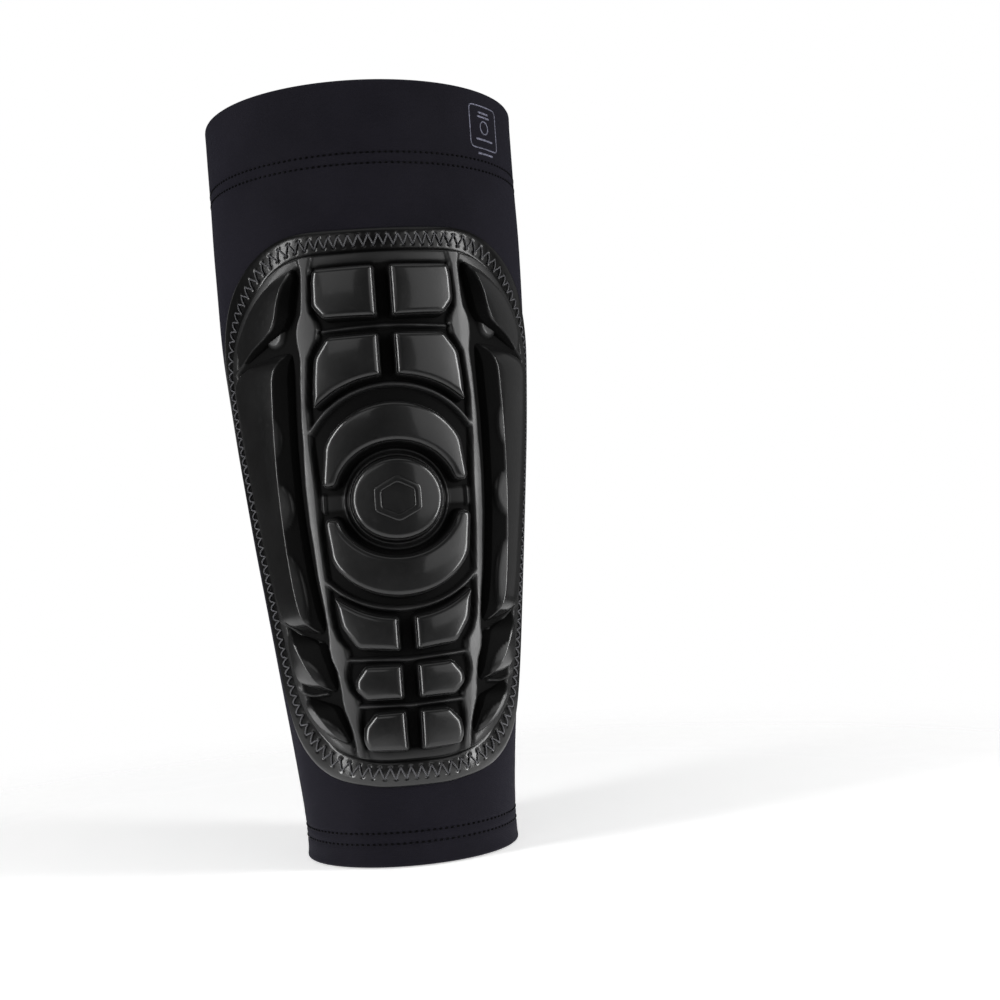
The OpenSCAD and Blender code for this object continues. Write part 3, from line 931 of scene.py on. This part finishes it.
# %% Threads along a path
def thread_rings(line, radius, sides=6):
    """Rings round each line of (u, z, h) points, (lines, points, 3): the section's two axes
    are the height and the direction across the line on the cloth."""
    way = np.gradient(line[..., :2], axis=-2)
    way /= np.maximum(np.linalg.norm(way, axis=-1, keepdims=True), 1e-9)
    turn = np.arange(sides) / sides * 2 * np.pi
    radius = np.broadcast_to(np.asarray(radius, float), line.shape[:-1])[..., None]
    u = line[..., 0:1] + radius * np.cos(turn) * -way[..., 1:2]
    z = line[..., 1:2] + radius * np.cos(turn) * way[..., 0:1]
    h = line[..., 2:3] + radius * np.sin(turn)
    steps = np.linalg.norm(np.diff(line, axis=-2), axis=-1)
    length = np.concatenate([0 * line[..., :1, 0], np.cumsum(steps, -1)], -1)
    uv = np.stack(np.broadcast_arrays(turn / (2 * np.pi), MM * length[..., None]), -1)
    return on_leg(u, z, h), uv


def zigzag_line(first, last):
    """The thread from one hole of the half outline to another. Ten points a stitch."""
    number = np.arange(first, last + 0.001, 0.1)
    s = np.interp(number, np.arange(stitches + 1), hole_at)
    part = number - np.floor(number)
    slide = np.where(np.floor(number) % 2 == 0, 0.5 - part, part - 0.5)
    u, z = border_place(s, stitch_out(s) + slide * ZIGZAG_H)
    arch = np.sqrt(np.clip(np.sin(np.pi * part), 0, 1))
    return np.stack([u, z, BORDER_H - 0.1 + 0.75 * arch], -1)


FLIP = np.array([-1, 1, 1])
low_hole = int(np.searchsorted(hole_at, low_cut)) - 1
high_hole = int(np.searchsorted(hole_at, high_cut))
half_low, half_high = zigzag_line(0, low_hole), zigzag_line(high_hole, stitches)
zigzag_lines = {"bottom_zigzag": np.concatenate([half_low[:0:-1] * FLIP, half_low]),
                "top_zigzag": np.concatenate([half_high, half_high[-2::-1] * FLIP]),
                "left_zigzag": zigzag_line(low_hole, high_hole) * FLIP,
                "right_zigzag": zigzag_line(low_hole, high_hole)}
for name, line in zigzag_lines.items():
    rings, uv = thread_rings(line[None], THREAD_R)
    piece = swept_solid(name, rings, uv=uv)
    finished(piece, border_thread, [name.replace("zigzag", "border_stitch")])
    if name in ("left_zigzag", "right_zigzag"):
        over_groove(piece, name.split("_")[0])
    else:
        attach(piece, "shin_and_sleeve")
print("needle holes on one side:", stitches)

# %% [markdown]
# The hem rows go all round, so they are made in the same five parts as the cloth.

# %% Hem stitches
STITCH_LENGTH, STITCH_STEP = 1.5, 2.2


def hem_line(row_z, a_from, a_to):
    """Stitches of a row between two angles: seven points each, sunk at both ends."""
    r = leg_radius(row_z)
    u_from, u_to = sorted((a_from(row_z) * r, a_to(row_z) * r))
    numbers = np.arange(np.ceil(u_from / STITCH_STEP), np.ceil(u_to / STITCH_STEP))
    part = np.array([0, 0.08, 0.25, 0.5, 0.75, 0.92, 1])
    u = numbers[:, None] * STITCH_STEP + part * STITCH_LENGTH
    h = -0.55 + 0.6 * np.sqrt(np.sin(np.pi * np.clip(part, 0.001, 0.999))) - give(u / r, row_z)
    return np.stack([u, row_z + 0 * u, h], -1)


def hem_piece(name, a_from, a_to):
    lines = np.concatenate([hem_line(np.float64(row), a_from, a_to) for row in ROW_HEIGHTS])
    rings, uv = thread_rings(lines, [0.1, 0.32, 0.4, 0.42, 0.4, 0.32, 0.1], 6)
    return swept_solid(name, rings, uv=uv)


hem_nodes = {"left_calf": ["top_hem_stitch"], "right_calf": ["bottom_hem_stitch"]}
for panel, edges in PANELS.items():
    piece = hem_piece(panel + "_hem_stitch", *edges)
    move_with(piece, panel)
    finished(piece, hem_thread, hem_nodes.get(panel, []))
    print(piece.name, len(piece.data.polygons), "faces")

# %% [markdown]
# A flatlock seam lays the two cloths edge to edge and covers them with a lacing of thread.
# Here each crossing is one slanted stitch, with a straight chain along both edges.

# %% Side seams
SEAM_W, LACE_STEP = 4.6, 1.5


def seam_piece(name, sign):
    """Slanted crossings up the seam, and two edge chains, each as separate short stitches."""
    z = np.arange(16, 241.5, LACE_STEP)[:, None]
    part = np.linspace(0, 1, 7)
    arch = np.sqrt(np.sin(np.pi * np.clip(part, 0.001, 0.999)))
    middle = sign * SEAM * leg_radius(z)

    def stitch(u, z, rise):
        u, z = np.broadcast_arrays(u, z)
        return np.stack([u, z, -0.45 + rise * arch - give(u / leg_radius(z), z)], -1)

    lines = [stitch(middle + (part - 0.5) * SEAM_W, z + (part - 0.5) * 2.2, 0.6)]
    for edge in (-1, 1):
        chain_u = middle + edge * SEAM_W / 2 + 0 * part
        lines.append(stitch(chain_u, z + (part - 0.5) * LACE_STEP * 1.1, 0.68))
    rings, uv = thread_rings(np.concatenate(lines), [0.1, 0.2, 0.22, 0.22, 0.22, 0.2, 0.1], 6)
    return swept_solid(name, rings, uv=uv)


for side, sign in SIDES.items():
    piece = seam_piece(side + "_flat_seam", sign)
    over_calf(piece)
    finished(piece, seam_thread, [side + "_seam_thread"])
    print(piece.name, len(piece.data.polygons), "faces")

# %% [markdown]
# ## Blocks of the shin part
# Each block is a pillow of foam under film: a steep wall, a rounded bevel that catches the
# light, and a slightly crowned top. Its top outline is drawn by its corners, each with its own
# rounding. Four of the corners are the corners of a grid, which is filled between the four
# sides, so the grid's rows bend with the block. Walls are rings outside it.

# %% Outlines with rounded corners
BLOCK_H, BEVEL, BEVEL_DROP, CROWN = 8.35, 1.9, 1.5, 0.35
WALL = [(0.12, 6.8), (0.3, 6.0), (0.65, 4.4), (0.95, 3.0), (1.15, 2.3), (1.3, 1.3)]


CORNER_POINTS = 9


def eased(corners, count):
    """The outline with its corners rounded. A corner is (u, z, cut): a quadratic curve of
    count points bends from cut before it to cut after it."""
    corners = np.array(corners, float)
    p, cuts = corners[:, :2], corners[:, 2]
    f = np.linspace(0, 1, count)[None, :, None]

    def toward(neighbour):
        reach = np.linalg.norm(neighbour - p, axis=1)
        return p + (neighbour - p) / reach[:, None] * np.minimum(cuts, reach / 2)[:, None]

    first, last = toward(np.roll(p, 1, 0)), toward(np.roll(p, -1, 0))
    bends = (1 - f) ** 2 * first[:, None] + 2 * f * (1 - f) * p[:, None] + f**2 * last[:, None]
    return bends.reshape(-1, 2)


def rounded_sides(corners, grid_corners, count):
    """The four sides of the eased outline, from the middle of one grid corner to the next,
    each with count points."""
    ring = eased(corners, CORNER_POINTS)
    marks = [CORNER_POINTS * g + CORNER_POINTS // 2 for g in grid_corners]
    sides = []
    for a, b in zip(marks, marks[1:] + [marks[0] + len(ring)]):
        part = ring[np.arange(a, b + 1) % len(ring)]
        part = part[np.concatenate([[True], np.linalg.norm(np.diff(part, axis=0), axis=1) > 1e-6])]
        along = distance_along(part)
        at = edge_dense(count) * along[-1]
        sides.append(np.stack([np.interp(at, along, part[:, k]) for k in (0, 1)], -1))
    return sides


def edge_dense(count):
    """Places from 0 to 1 that lie closer together at both ends."""
    x = np.linspace(0, 1, count)
    return 0.35 * x + 0.65 * (0.5 - 0.5 * np.cos(np.pi * x))


def filled(sides, count):
    """A grid between four sides: the sum of the two straight fills less the corners' own."""
    south, east, north, west = sides
    north, west = north[::-1], west[::-1]
    s = edge_dense(count)[:, None, None]
    t = edge_dense(count)[None, :, None]
    fill = (1 - t) * south[:, None] + t * north[:, None] + (1 - s) * west[None] + s * east[None]
    corner = ((1 - s) * (1 - t) * south[0] + s * (1 - t) * south[-1]
              + (1 - s) * t * north[0] + s * t * north[-1])
    return fill - corner


def perimeter(count):
    """Numbers of the grid's outer points, once round."""
    k = np.arange(count)
    n = count - 1
    k = k[:-1]
    return np.concatenate([k * count, n * count + k, (n - k) * count + n, n - k])


def pillow(name, corners, grid_corners, mirror=1, count=41, top=BLOCK_H, crown=CROWN, wall=WALL):
    """A block: the crowned grid with a bevel near its edge, rings of wall, and an underside."""
    grid = filled(rounded_sides(corners, grid_corners, count), count)
    rim = perimeter(count)
    flat = grid.reshape(-1, 2)
    ring = flat[rim]
    way = np.roll(ring, -1, 0) - np.roll(ring, 1, 0)
    out = np.stack([way[:, 1], -way[:, 0]], -1) / np.linalg.norm(way, axis=1, keepdims=True)
    turning = (ring[:, 0] * np.roll(ring[:, 1], -1) - ring[:, 1] * np.roll(ring[:, 0], -1)).sum()
    out *= np.sign(turning)
    dense = np.concatenate([ring + f * (np.roll(ring, -1, 0) - ring) for f in (0, 0.33, 0.67)])
    edge = np.sqrt(((flat[:, None] - dense[None]) ** 2).sum(-1).min(1))
    x = edge_dense(count)
    hump = (16 * np.outer(x * (1 - x), x * (1 - x))).ravel()
    bevel = BEVEL_DROP * (1 - np.sqrt(np.clip(1 - (1 - np.clip(edge / BEVEL, 0, 1)) ** 2, 0, 1)))
    cap_h = top - bevel + crown * hump
    lift = top - BLOCK_H
    layers = [np.concatenate([flat, cap_h[:, None]], 1)]
    for reach, height in wall[:-1]:
        height += lift * (height > 3)
        layers.append(np.concatenate([ring + reach * out, np.full((len(rim), 1), height)], 1))
    under = flat.copy()
    under[rim] = ring + wall[-1][0] * out
    layers.append(np.concatenate([under, np.full((len(flat), 1), wall[-1][1])], 1))
    points = np.concatenate(layers)
    i, j = np.meshgrid(np.arange(count - 1), np.arange(count - 1), indexing="ij")
    first = i * count + j
    cell = np.stack([first, first + count, first + count + 1, first + 1], -1).reshape(-1, 4)
    starts = len(flat) + len(rim) * np.arange(len(wall))
    # the wall's rings lie between the top's rim and the underside's own rim
    loops = [rim] + [s + np.arange(len(rim)) for s in starts[:-1]] + [starts[-1] + rim]
    walls = [np.stack([a, np.roll(a, -1), np.roll(b, -1), b], -1)
             for a, b in zip(loops[:-1], loops[1:])]
    faces = np.concatenate([cell] + walls + [starts[-1] + cell[:, ::-1]])
    xyz = on_leg(mirror * points[:, 0], points[:, 1], points[:, 2])
    if volume(xyz, faces) < 0:
        faces = faces[:, ::-1]
    # Painted shade: the block's wall below 4.5 mm is painted black.
    return make_mesh(name, xyz, faces, unshaded_share=step_up(points[:, 2] - 4.5, 2.3))


# %% [markdown]
# The top rows get wide blocks with a cut corner. Below the ring they are narrower and more
# faceted. Arcs are runs of corners with long roundings.

# %% The ten row blocks
ROWS = {
    "row_1": ([(2.7, 190.6, 0.9), (19, 191, 1.4), (22.5, 195.4, 1.6), (22.3, 204.5, 2), (21.4, 208.2, 1.4),
               (2.7, 208.2, 1.1)], (0, 2, 4, 5)),
    "row_2": ([(2.7, 170, 0.9), (8, 169.2, 2.4), (13, 167.6, 2.4), (18, 165.1, 2.4), (22, 162.1, 1.6),
               (24.1, 160.3, 1), (23.9, 169, 3), (23, 177.4, 1.6), (18.4, 184.2, 1.5),
               (2.7, 184.4, 1)], (0, 5, 8, 9)),
    "row_3": ([(2.7, 75, 1), (15, 76.4, 1.6), (19.9, 84.2, 1.8), (21.4, 94.4, 1), (17, 91.3, 2),
               (13, 88.9, 2.2), (8, 87, 2.4), (2.7, 86.1, 0.9)], (0, 1, 3, 7)),
    "row_4": ([(2.6, 58.5, 1), (13.5, 58.7, 1.5), (16.6, 62.3, 1.3), (16.6, 65.6, 1.3),
               (13.2, 70.2, 1.4), (2.6, 69.8, 1)], (0, 1, 4, 5)),
    "row_5": ([(2.3, 40.8, 1), (13.8, 41.3, 1.3), (15.2, 45, 1.8), (14.6, 49.6, 1.3),
               (11, 54, 1.4), (2.5, 54.1, 1)], (0, 1, 4, 5)),
}
for row, (corners, grid_corners) in ROWS.items():
    for side, sign in SIDES.items():
        node = row + "_" + side
        piece = pillow(node + "_block", corners, grid_corners, sign)
        foam_block(piece, node)
print("row blocks:", 2 * len(ROWS), "of", len(piece.data.polygons), "faces")

# %% [markdown]
# ## Crescents and disc
# The middle of the pad is a round block between two crescents. All three are pillows too:
# a crescent's long sides are its two arcs, and the disc is a circle with four grid corners.

# %% Crescents and disc
def crescent_corners(side):
    """Inner arc about the disc's middle, then the outer arc back. side is 1 above, -1 below."""
    tip, inner_r = 5.4, 20
    reach = np.sqrt(inner_r**2 - tip**2)
    inner = arc(0, inner_r, -reach, reach, 1)[1:-1]
    outer = arc(9.5, 24, -23.6, 23.6, 1)[1:-1][::-1]
    corners = [(-19.2, tip, 1.8), *[(u, z, 1.2) for u, z in inner], (19.2, tip, 1.8),
               (23.2, tip + 0.3, 2.6), *[(u, z, 1.2) for u, z in outer], (-23.2, tip + 0.3, 2.6)]
    corners = [(u, DISC_Z + side * z, cut) for u, z, cut in corners]
    marks = (0, len(inner) + 1, len(inner) + 2, len(corners) - 1)
    return corners, marks


for name, side in (("upper_crescent", 1), ("lower_crescent", -1)):
    corners, marks = crescent_corners(side)
    foam_block(pillow(name + "_block", corners, marks, count=61), name)

turns = np.radians(np.arange(-135, 225, 15))
DISC_R = 14.2
disc_corners = [(DISC_R * np.cos(a), DISC_Z + DISC_R * np.sin(a), 1.8) for a in turns]
disc = pillow("round_block", disc_corners, (0, 6, 12, 18), count=61, crown=0.5,
              wall=[(0.12, 6.9), (0.3, 6.1), (0.6, 5.2), (0.8, 4.6), (1.0, 4.0), (1.2, 1.3)])
foam_block(disc, "centre_disc")
print("disc box in mm:", np.round(np.array(disc.dimensions) * 1000, 1))

# %% [markdown]
# The disc carries a raised mark. Here it is a plain six-sided ring, which is nobody's sign:
# a low band with bevelled edges, carried round six straight sides with its corners eased.

# %% Emblem
def hexagon(radius, cut):
    """Points round a six-sided line with eased corners."""
    a = np.radians(np.arange(6) * 60 + 30)
    return eased(np.stack([radius * np.cos(a), radius * np.sin(a), cut + 0 * a], -1), 4)


inner, outer = hexagon(5.7, 0.9), hexagon(8.1, 1.3)
band_profile = [(0.0, 8.2), (0.0, 9.0), (0.1, 9.18), (0.26, 9.27), (0.74, 9.27), (0.9, 9.18),
                (1.0, 9.0), (1.0, 8.2)]
rings = []
for share, height in band_profile:
    flat = inner + share * (outer - inner)
    rings.append(on_leg(flat[:, 0], DISC_Z + flat[:, 1], height))
emblem = swept_solid("hexagon_mark", np.stack(rings, 1), closed=True)
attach(emblem, "shin_and_sleeve")
finished(emblem, block_film, ["disc_emblem"])

# %% [markdown]
# ## Blocks of the wings
# A wing's blocks are ridged: a steep inner face that looks at the shin, a sharp ridge, and a
# long face that falls to the lip. Each is a section across the wing, given at a few heights by
# its inner foot, ridge, ridge height and outer foot. A smooth curve is passed through those,
# and the section is drawn at every height and softened a little at its edges.

# %% Ridged blocks
FIN = [(178, 57.6, 58.6, 2.2, 60.6), (180, 52, 55, 3.6, 60.6), (183, 45, 48.6, 5.4, 60),
       (186, 38.8, 42.4, 7, 58.8), (189, 33.6, 37.6, 8, 56.6), (193, 31, 35.3, 8.5, 53.4),
       (198, 30, 34.2, 8.5, 49.4), (203, 29.2, 32.6, 8.3, 44), (207, 28.6, 31, 7.2, 38.6),
       (209.5, 28.8, 30.2, 5.4, 34), (210.8, 29.2, 30.2, 2.4, 32)]
LONG = [(81.8, 27.8, 28.6, 2.2, 30.5), (83, 27.2, 30, 4.6, 35.5), (86, 26.9, 32, 7.4, 43.5),
        (90, 27.4, 33.6, 8.4, 46.6), (100, 29.2, 35.4, 8.5, 49.4), (115, 31, 37, 8.5, 52.6),
        (130, 32.2, 38, 8.5, 55.4), (150, 32.6, 38.4, 8.5, 58.8), (165, 32.2, 38, 8.5, 60.8),
        (172, 32, 37.6, 8.5, 61.2), (176, 31.9, 37, 7.6, 58), (179, 31.8, 35.6, 5.6, 49),
        (181.3, 31.9, 34, 2.4, 40)]
UPPER_CHUNK = [(61.4, 24.6, 25.4, 2.2, 27.6), (62.8, 24, 26.8, 5.2, 33),
               (65.5, 23.8, 29.6, 7.4, 40), (70, 24.3, 32.4, 8.3, 42.2),
               (75, 25.4, 35, 8.3, 43.4), (79, 27, 37.4, 7.8, 44.2), (82, 35, 40, 6, 44.8),
               (84.8, 42, 43.6, 2.4, 45.2)]
LOWER_CHUNK = [(43.4, 20.6, 21.4, 2.2, 24), (45.2, 20, 23.4, 5.4, 27.6),
               (48.4, 20.4, 25.8, 7.2, 31.6), (53, 21.8, 29, 8, 35.6),
               (56.6, 23.4, 32, 7.6, 37.8), (58.8, 30.5, 35, 5.4, 38.6),
               (60.6, 35.6, 36.8, 2.4, 39)]
LENSES = [(98, 12.5, 3.6), (127, 8, 4.0), (151, 7, 2.4)]


def ridged_block(name, table, sign, outer_h, lenses):
    """The section is straight from foot to shoulder, ridge, outer edge and foot. Each lens is
    a shallow facet (middle, half height, width) that leans back from the ridge. Each point's
    height is averaged with its near neighbours, which rounds the edges by half a millimetre."""
    rows = smooth_line([(z, 0, a, b, c, d) for z, a, b, c, d in table], 0.8)
    z, _, foot, ridge, ridge_h, outer = rows.T
    z, foot, ridge, ridge_h, outer = (x[:, None] for x in (z, foot, ridge, ridge_h, outer))
    full = np.clip((ridge_h - 2.2) / 6.3, 0, 1)
    edge_h = 2.2 + (outer_h - 2.2) * full
    corners_u = [foot, foot + 0.28 * (ridge - foot), ridge, outer - 0.9, outer]
    corners_h = [1.3 + 0 * z, 1.3 + 0.55 * (ridge_h - 1.3), ridge_h, edge_h, 1.3 + 0 * z]
    counts = [12, 20, 34, 9]
    u, h = [], []
    for k, count in enumerate(counts):
        f = edge_dense(count + 1)[None, : count + (k == 3)]
        u.append(corners_u[k] + f * (corners_u[k + 1] - corners_u[k]))
        h.append(corners_h[k] + f * (corners_h[k + 1] - corners_h[k]))
    u, h = np.concatenate(u, 1), np.concatenate(h, 1)
    patch = 0 * h
    for middle, half, wide in lenses:
        reach = wide * np.sqrt(np.clip(1 - ((z - middle) / half) ** 2, 0, 1))
        share = step_up(u - ridge + reach, 0.6) * (u < ridge)
        h = np.maximum(h, h + (ridge_h - 0.42 * (ridge - u) - h) * share)
        patch = np.maximum(patch, share * (reach > 0.5))
    for _ in range(3):
        h[:, 1:-1] = 0.25 * h[:, :-2] + 0.5 * h[:, 1:-1] + 0.25 * h[:, 2:]
        h[1:-1] = 0.25 * h[:-2] + 0.5 * h[1:-1] + 0.25 * h[2:]
    # Painted shade: the inner face below the ridge is painted black, the lenses only partly.
    on_ridge = step_up(u - ridge + 0.7, 0.6)
    unshaded_part = np.maximum(on_ridge, 0.75 * patch) * step_up(h - 2.2, 1.4)
    return ply(name, on_leg(sign * u, z + 0 * u, h), on_leg(sign * u, z + 0 * u, 1.1 + 0 * u),
               unshaded_part=unshaded_part)


WING_BLOCKS = {"fin_block": (FIN, 4.2, ()), "long_block": (LONG, 4.4, LENSES),
               "upper_chunk": (UPPER_CHUNK, 4.6, [(69, 5, 3.4)]),
               "lower_chunk": (LOWER_CHUNK, 4.6, [(49, 4.5, 3)])}
for side, sign in SIDES.items():
    for block, (table, outer_h, lenses) in WING_BLOCKS.items():
        node = side + "_" + block
        piece = ridged_block(node + "_pad", table, sign, outer_h, lenses)
        foam_block(piece, node, side + "_wing")
print("wing blocks:", 2 * len(WING_BLOCKS))

# %% [markdown]
# ## Printed care mark
# A care mark is heat-printed on the knee hem: a thin rounded frame, a plain ring and plain bars
# where a maker would put words. It has no lettering. Each line of ink is a low flat band.

# %% Care mark
PRINT_U, PRINT_Z = 49.4, 262.4


def ink_line(line, width, closed):
    """A flat band of ink along (u, z) points: four points round, just over the cloth."""
    wide = np.concatenate([line[-1:], line, line[:1]]) if closed else line
    way = np.gradient(wide, axis=0)
    way = way[1:-1] if closed else way
    way /= np.linalg.norm(way, axis=1, keepdims=True)
    across = np.stack([-way[:, 1], way[:, 0]], -1)
    ring = []
    for side, h in ((-0.5, -0.45), (-0.5, 0.07), (0.5, 0.07), (0.5, -0.45)):
        p = line + side * width * across + [PRINT_U, PRINT_Z]
        ring.append(on_leg(p[:, 0], p[:, 1], h - give(p[:, 0] / leg_radius(p[:, 1]), p[:, 1])))
    return np.stack(ring, 1)


quarter = np.linspace(0, np.pi / 2, 5)
corner = 1.8 * np.stack([np.cos(quarter), np.sin(quarter)], -1) + [6.6, 6.1]
half_frame = np.concatenate([corner, corner[::-1] * [-1, 1]])
frame_line = evenly(np.concatenate([half_frame, -half_frame, half_frame[:1]]), 0.7)[:-1]
ring_turn = np.linspace(0, 2 * np.pi, 24, endpoint=False)
ring_line = 2.4 * np.stack([np.cos(ring_turn), np.sin(ring_turn)], -1)
bar_lines = [np.linspace((-wide, z), (wide, z), 13)
             for wide, z in ((3.2, 5.4), (3.8, 3.9), (5.2, -4.6))]
under_bar = np.linspace((-4.6, -9.9), (4.6, -9.9), 13)
bars = np.stack([ink_line(bar, 0.7, False) for bar in bar_lines + [under_bar]])
for name, rings, closed in (("care_mark", ink_line(frame_line, 0.45, True), True),
                            ("care_mark_ring", ink_line(ring_line, 0.5, True), True),
                            ("care_mark_bars", bars, False)):
    piece = swept_solid(name, rings, closed=closed)
    over_groove(piece, "right")
    finished(piece, ink, ["care_print"] if name == "care_mark" else [])
    print(name, len(piece.data.polygons), "faces")

# %% [markdown]
# ## Floor, light and camera
# The guard stands on a plain pale floor that fades into a bright, even surround. The camera
# sees that surround as white, but it lights the guard only faintly. Two tall strip
# lights stand left and right: a long narrow light draws the thin bright line along each bevel
# that makes the moulding readable on black. Broad soft lights stand to the right, in front and
# behind, so the right-hand faces are the brighter ones.

# %% Floor and surround
def floor_finish():
    """Pale and matt; further out it lets the surround through, so that no edge shows."""
    f = Finish("pale_floor", Roughness=0.9, Specular_IOR_Level=0.1,
               Emission_Color=(1, 1, 1, 1), Emission_Strength=0.5)
    away = f.node("ShaderNodeVectorMath", {"operation": "LENGTH"}, {0: f.place()}, "Value")
    speck = f.noise(60, 2)
    f.fill(f.shader, {"Base Color": f.mix(speck.ramp(0.3, 0.7), grey(0.93), grey(0.96)),
                      "Alpha": away.ramp(0.1, 0.45, 1.0, 0.0)})
    return f.material


FLOOR_RINGS, FLOOR_SPOKES, FLOOR_Z = 24, 96, -0.0004
around = np.linspace(0, 2 * np.pi, FLOOR_SPOKES, endpoint=False)
reach = np.linspace(0.001, 1, FLOOR_RINGS)[:, None]
floor_points = np.stack([reach * np.cos(around), reach * np.sin(around),
                         0 * reach * around + FLOOR_Z], -1)
i, j = np.meshgrid(np.arange(FLOOR_RINGS - 1), np.arange(FLOOR_SPOKES), indexing="ij")
here, beside = i * FLOOR_SPOKES + j, i * FLOOR_SPOKES + (j + 1) % FLOOR_SPOKES
floor_faces = np.stack([here, here + FLOOR_SPOKES, beside + FLOOR_SPOKES, beside], -1)
floor = make_mesh("pale_floor", floor_points.reshape(-1, 3), floor_faces.reshape(-1, 4))
floor.data.materials.append(floor_finish())

scene = bpy.context.scene
scene.view_settings.view_transform = "Standard"
world = bpy.data.worlds.new("bright_surround")
world.use_nodes = True
scene.world = world
tree = world.node_tree
background = tree.nodes["Background"]
background.inputs["Color"].default_value = (1, 1, 1, 1)
background.inputs["Strength"].default_value = 0.03
seen = tree.nodes.new("ShaderNodeBackground")
seen.inputs["Color"].default_value = (1, 1, 1, 1)
path_kind = tree.nodes.new("ShaderNodeLightPath")
mixer = tree.nodes.new("ShaderNodeMixShader")
tree.links.new(path_kind.outputs["Is Camera Ray"], mixer.inputs[0])
tree.links.new(background.outputs[0], mixer.inputs[1])
tree.links.new(seen.outputs[0], mixer.inputs[2])
tree.links.new(mixer.outputs[0], tree.nodes["World Output"].inputs[0])


# %% Lights and camera
def area_light(name, place, size, power, target=(0, 0, 0.14)):
    """A rectangle of light at place, facing target, in metres and watts."""
    data = bpy.data.lights.new(name, "AREA")
    data.shape, data.size, data.size_y, data.energy = "RECTANGLE", size[0], size[1], power
    light = bpy.data.objects.new(name, data)
    scene.collection.objects.link(light)
    way = Vector(target) - Vector(place)
    light.location = place
    light.rotation_euler = way.to_track_quat("-Z", "Y").to_euler()


for name, place, size, power in (("left_strip", (-0.75, -0.35, 0.25), (0.16, 0.9), 6.5),
                                ("right_strip", (0.75, -0.4, 0.25), (0.16, 0.9), 6.5),
                                ("right_front", (0.75, -1.05, 0.45), (0.8, 0.8), 1.9),
                                ("right_back", (0.95, 0.6, 0.35), (0.6, 0.9), 0.25),
                                ("left_front", (-0.5, -1.1, 0.7), (0.6, 0.6), 1.0)):
    area_light(name, place, size, power)
area_light("top_soft", (0.0, -0.1, 1.3), (1.2, 1.0), 2.2, target=(0, 0, 0.1))
area_light("back_soft", (-0.1, 1.3, 0.6), (1.2, 0.8), 1.0)
print("lights:", len(bpy.data.lights))

lens = bpy.data.cameras.new("camera")
lens.sensor_width, lens.lens = 36, 53.5
camera = bpy.data.objects.new("camera", lens)
camera.location = (-0.03797, -0.55657, 0.10495)
camera.rotation_euler = np.radians([92.119, 4.308, -8.013])
scene.collection.objects.link(camera)
scene.camera = camera
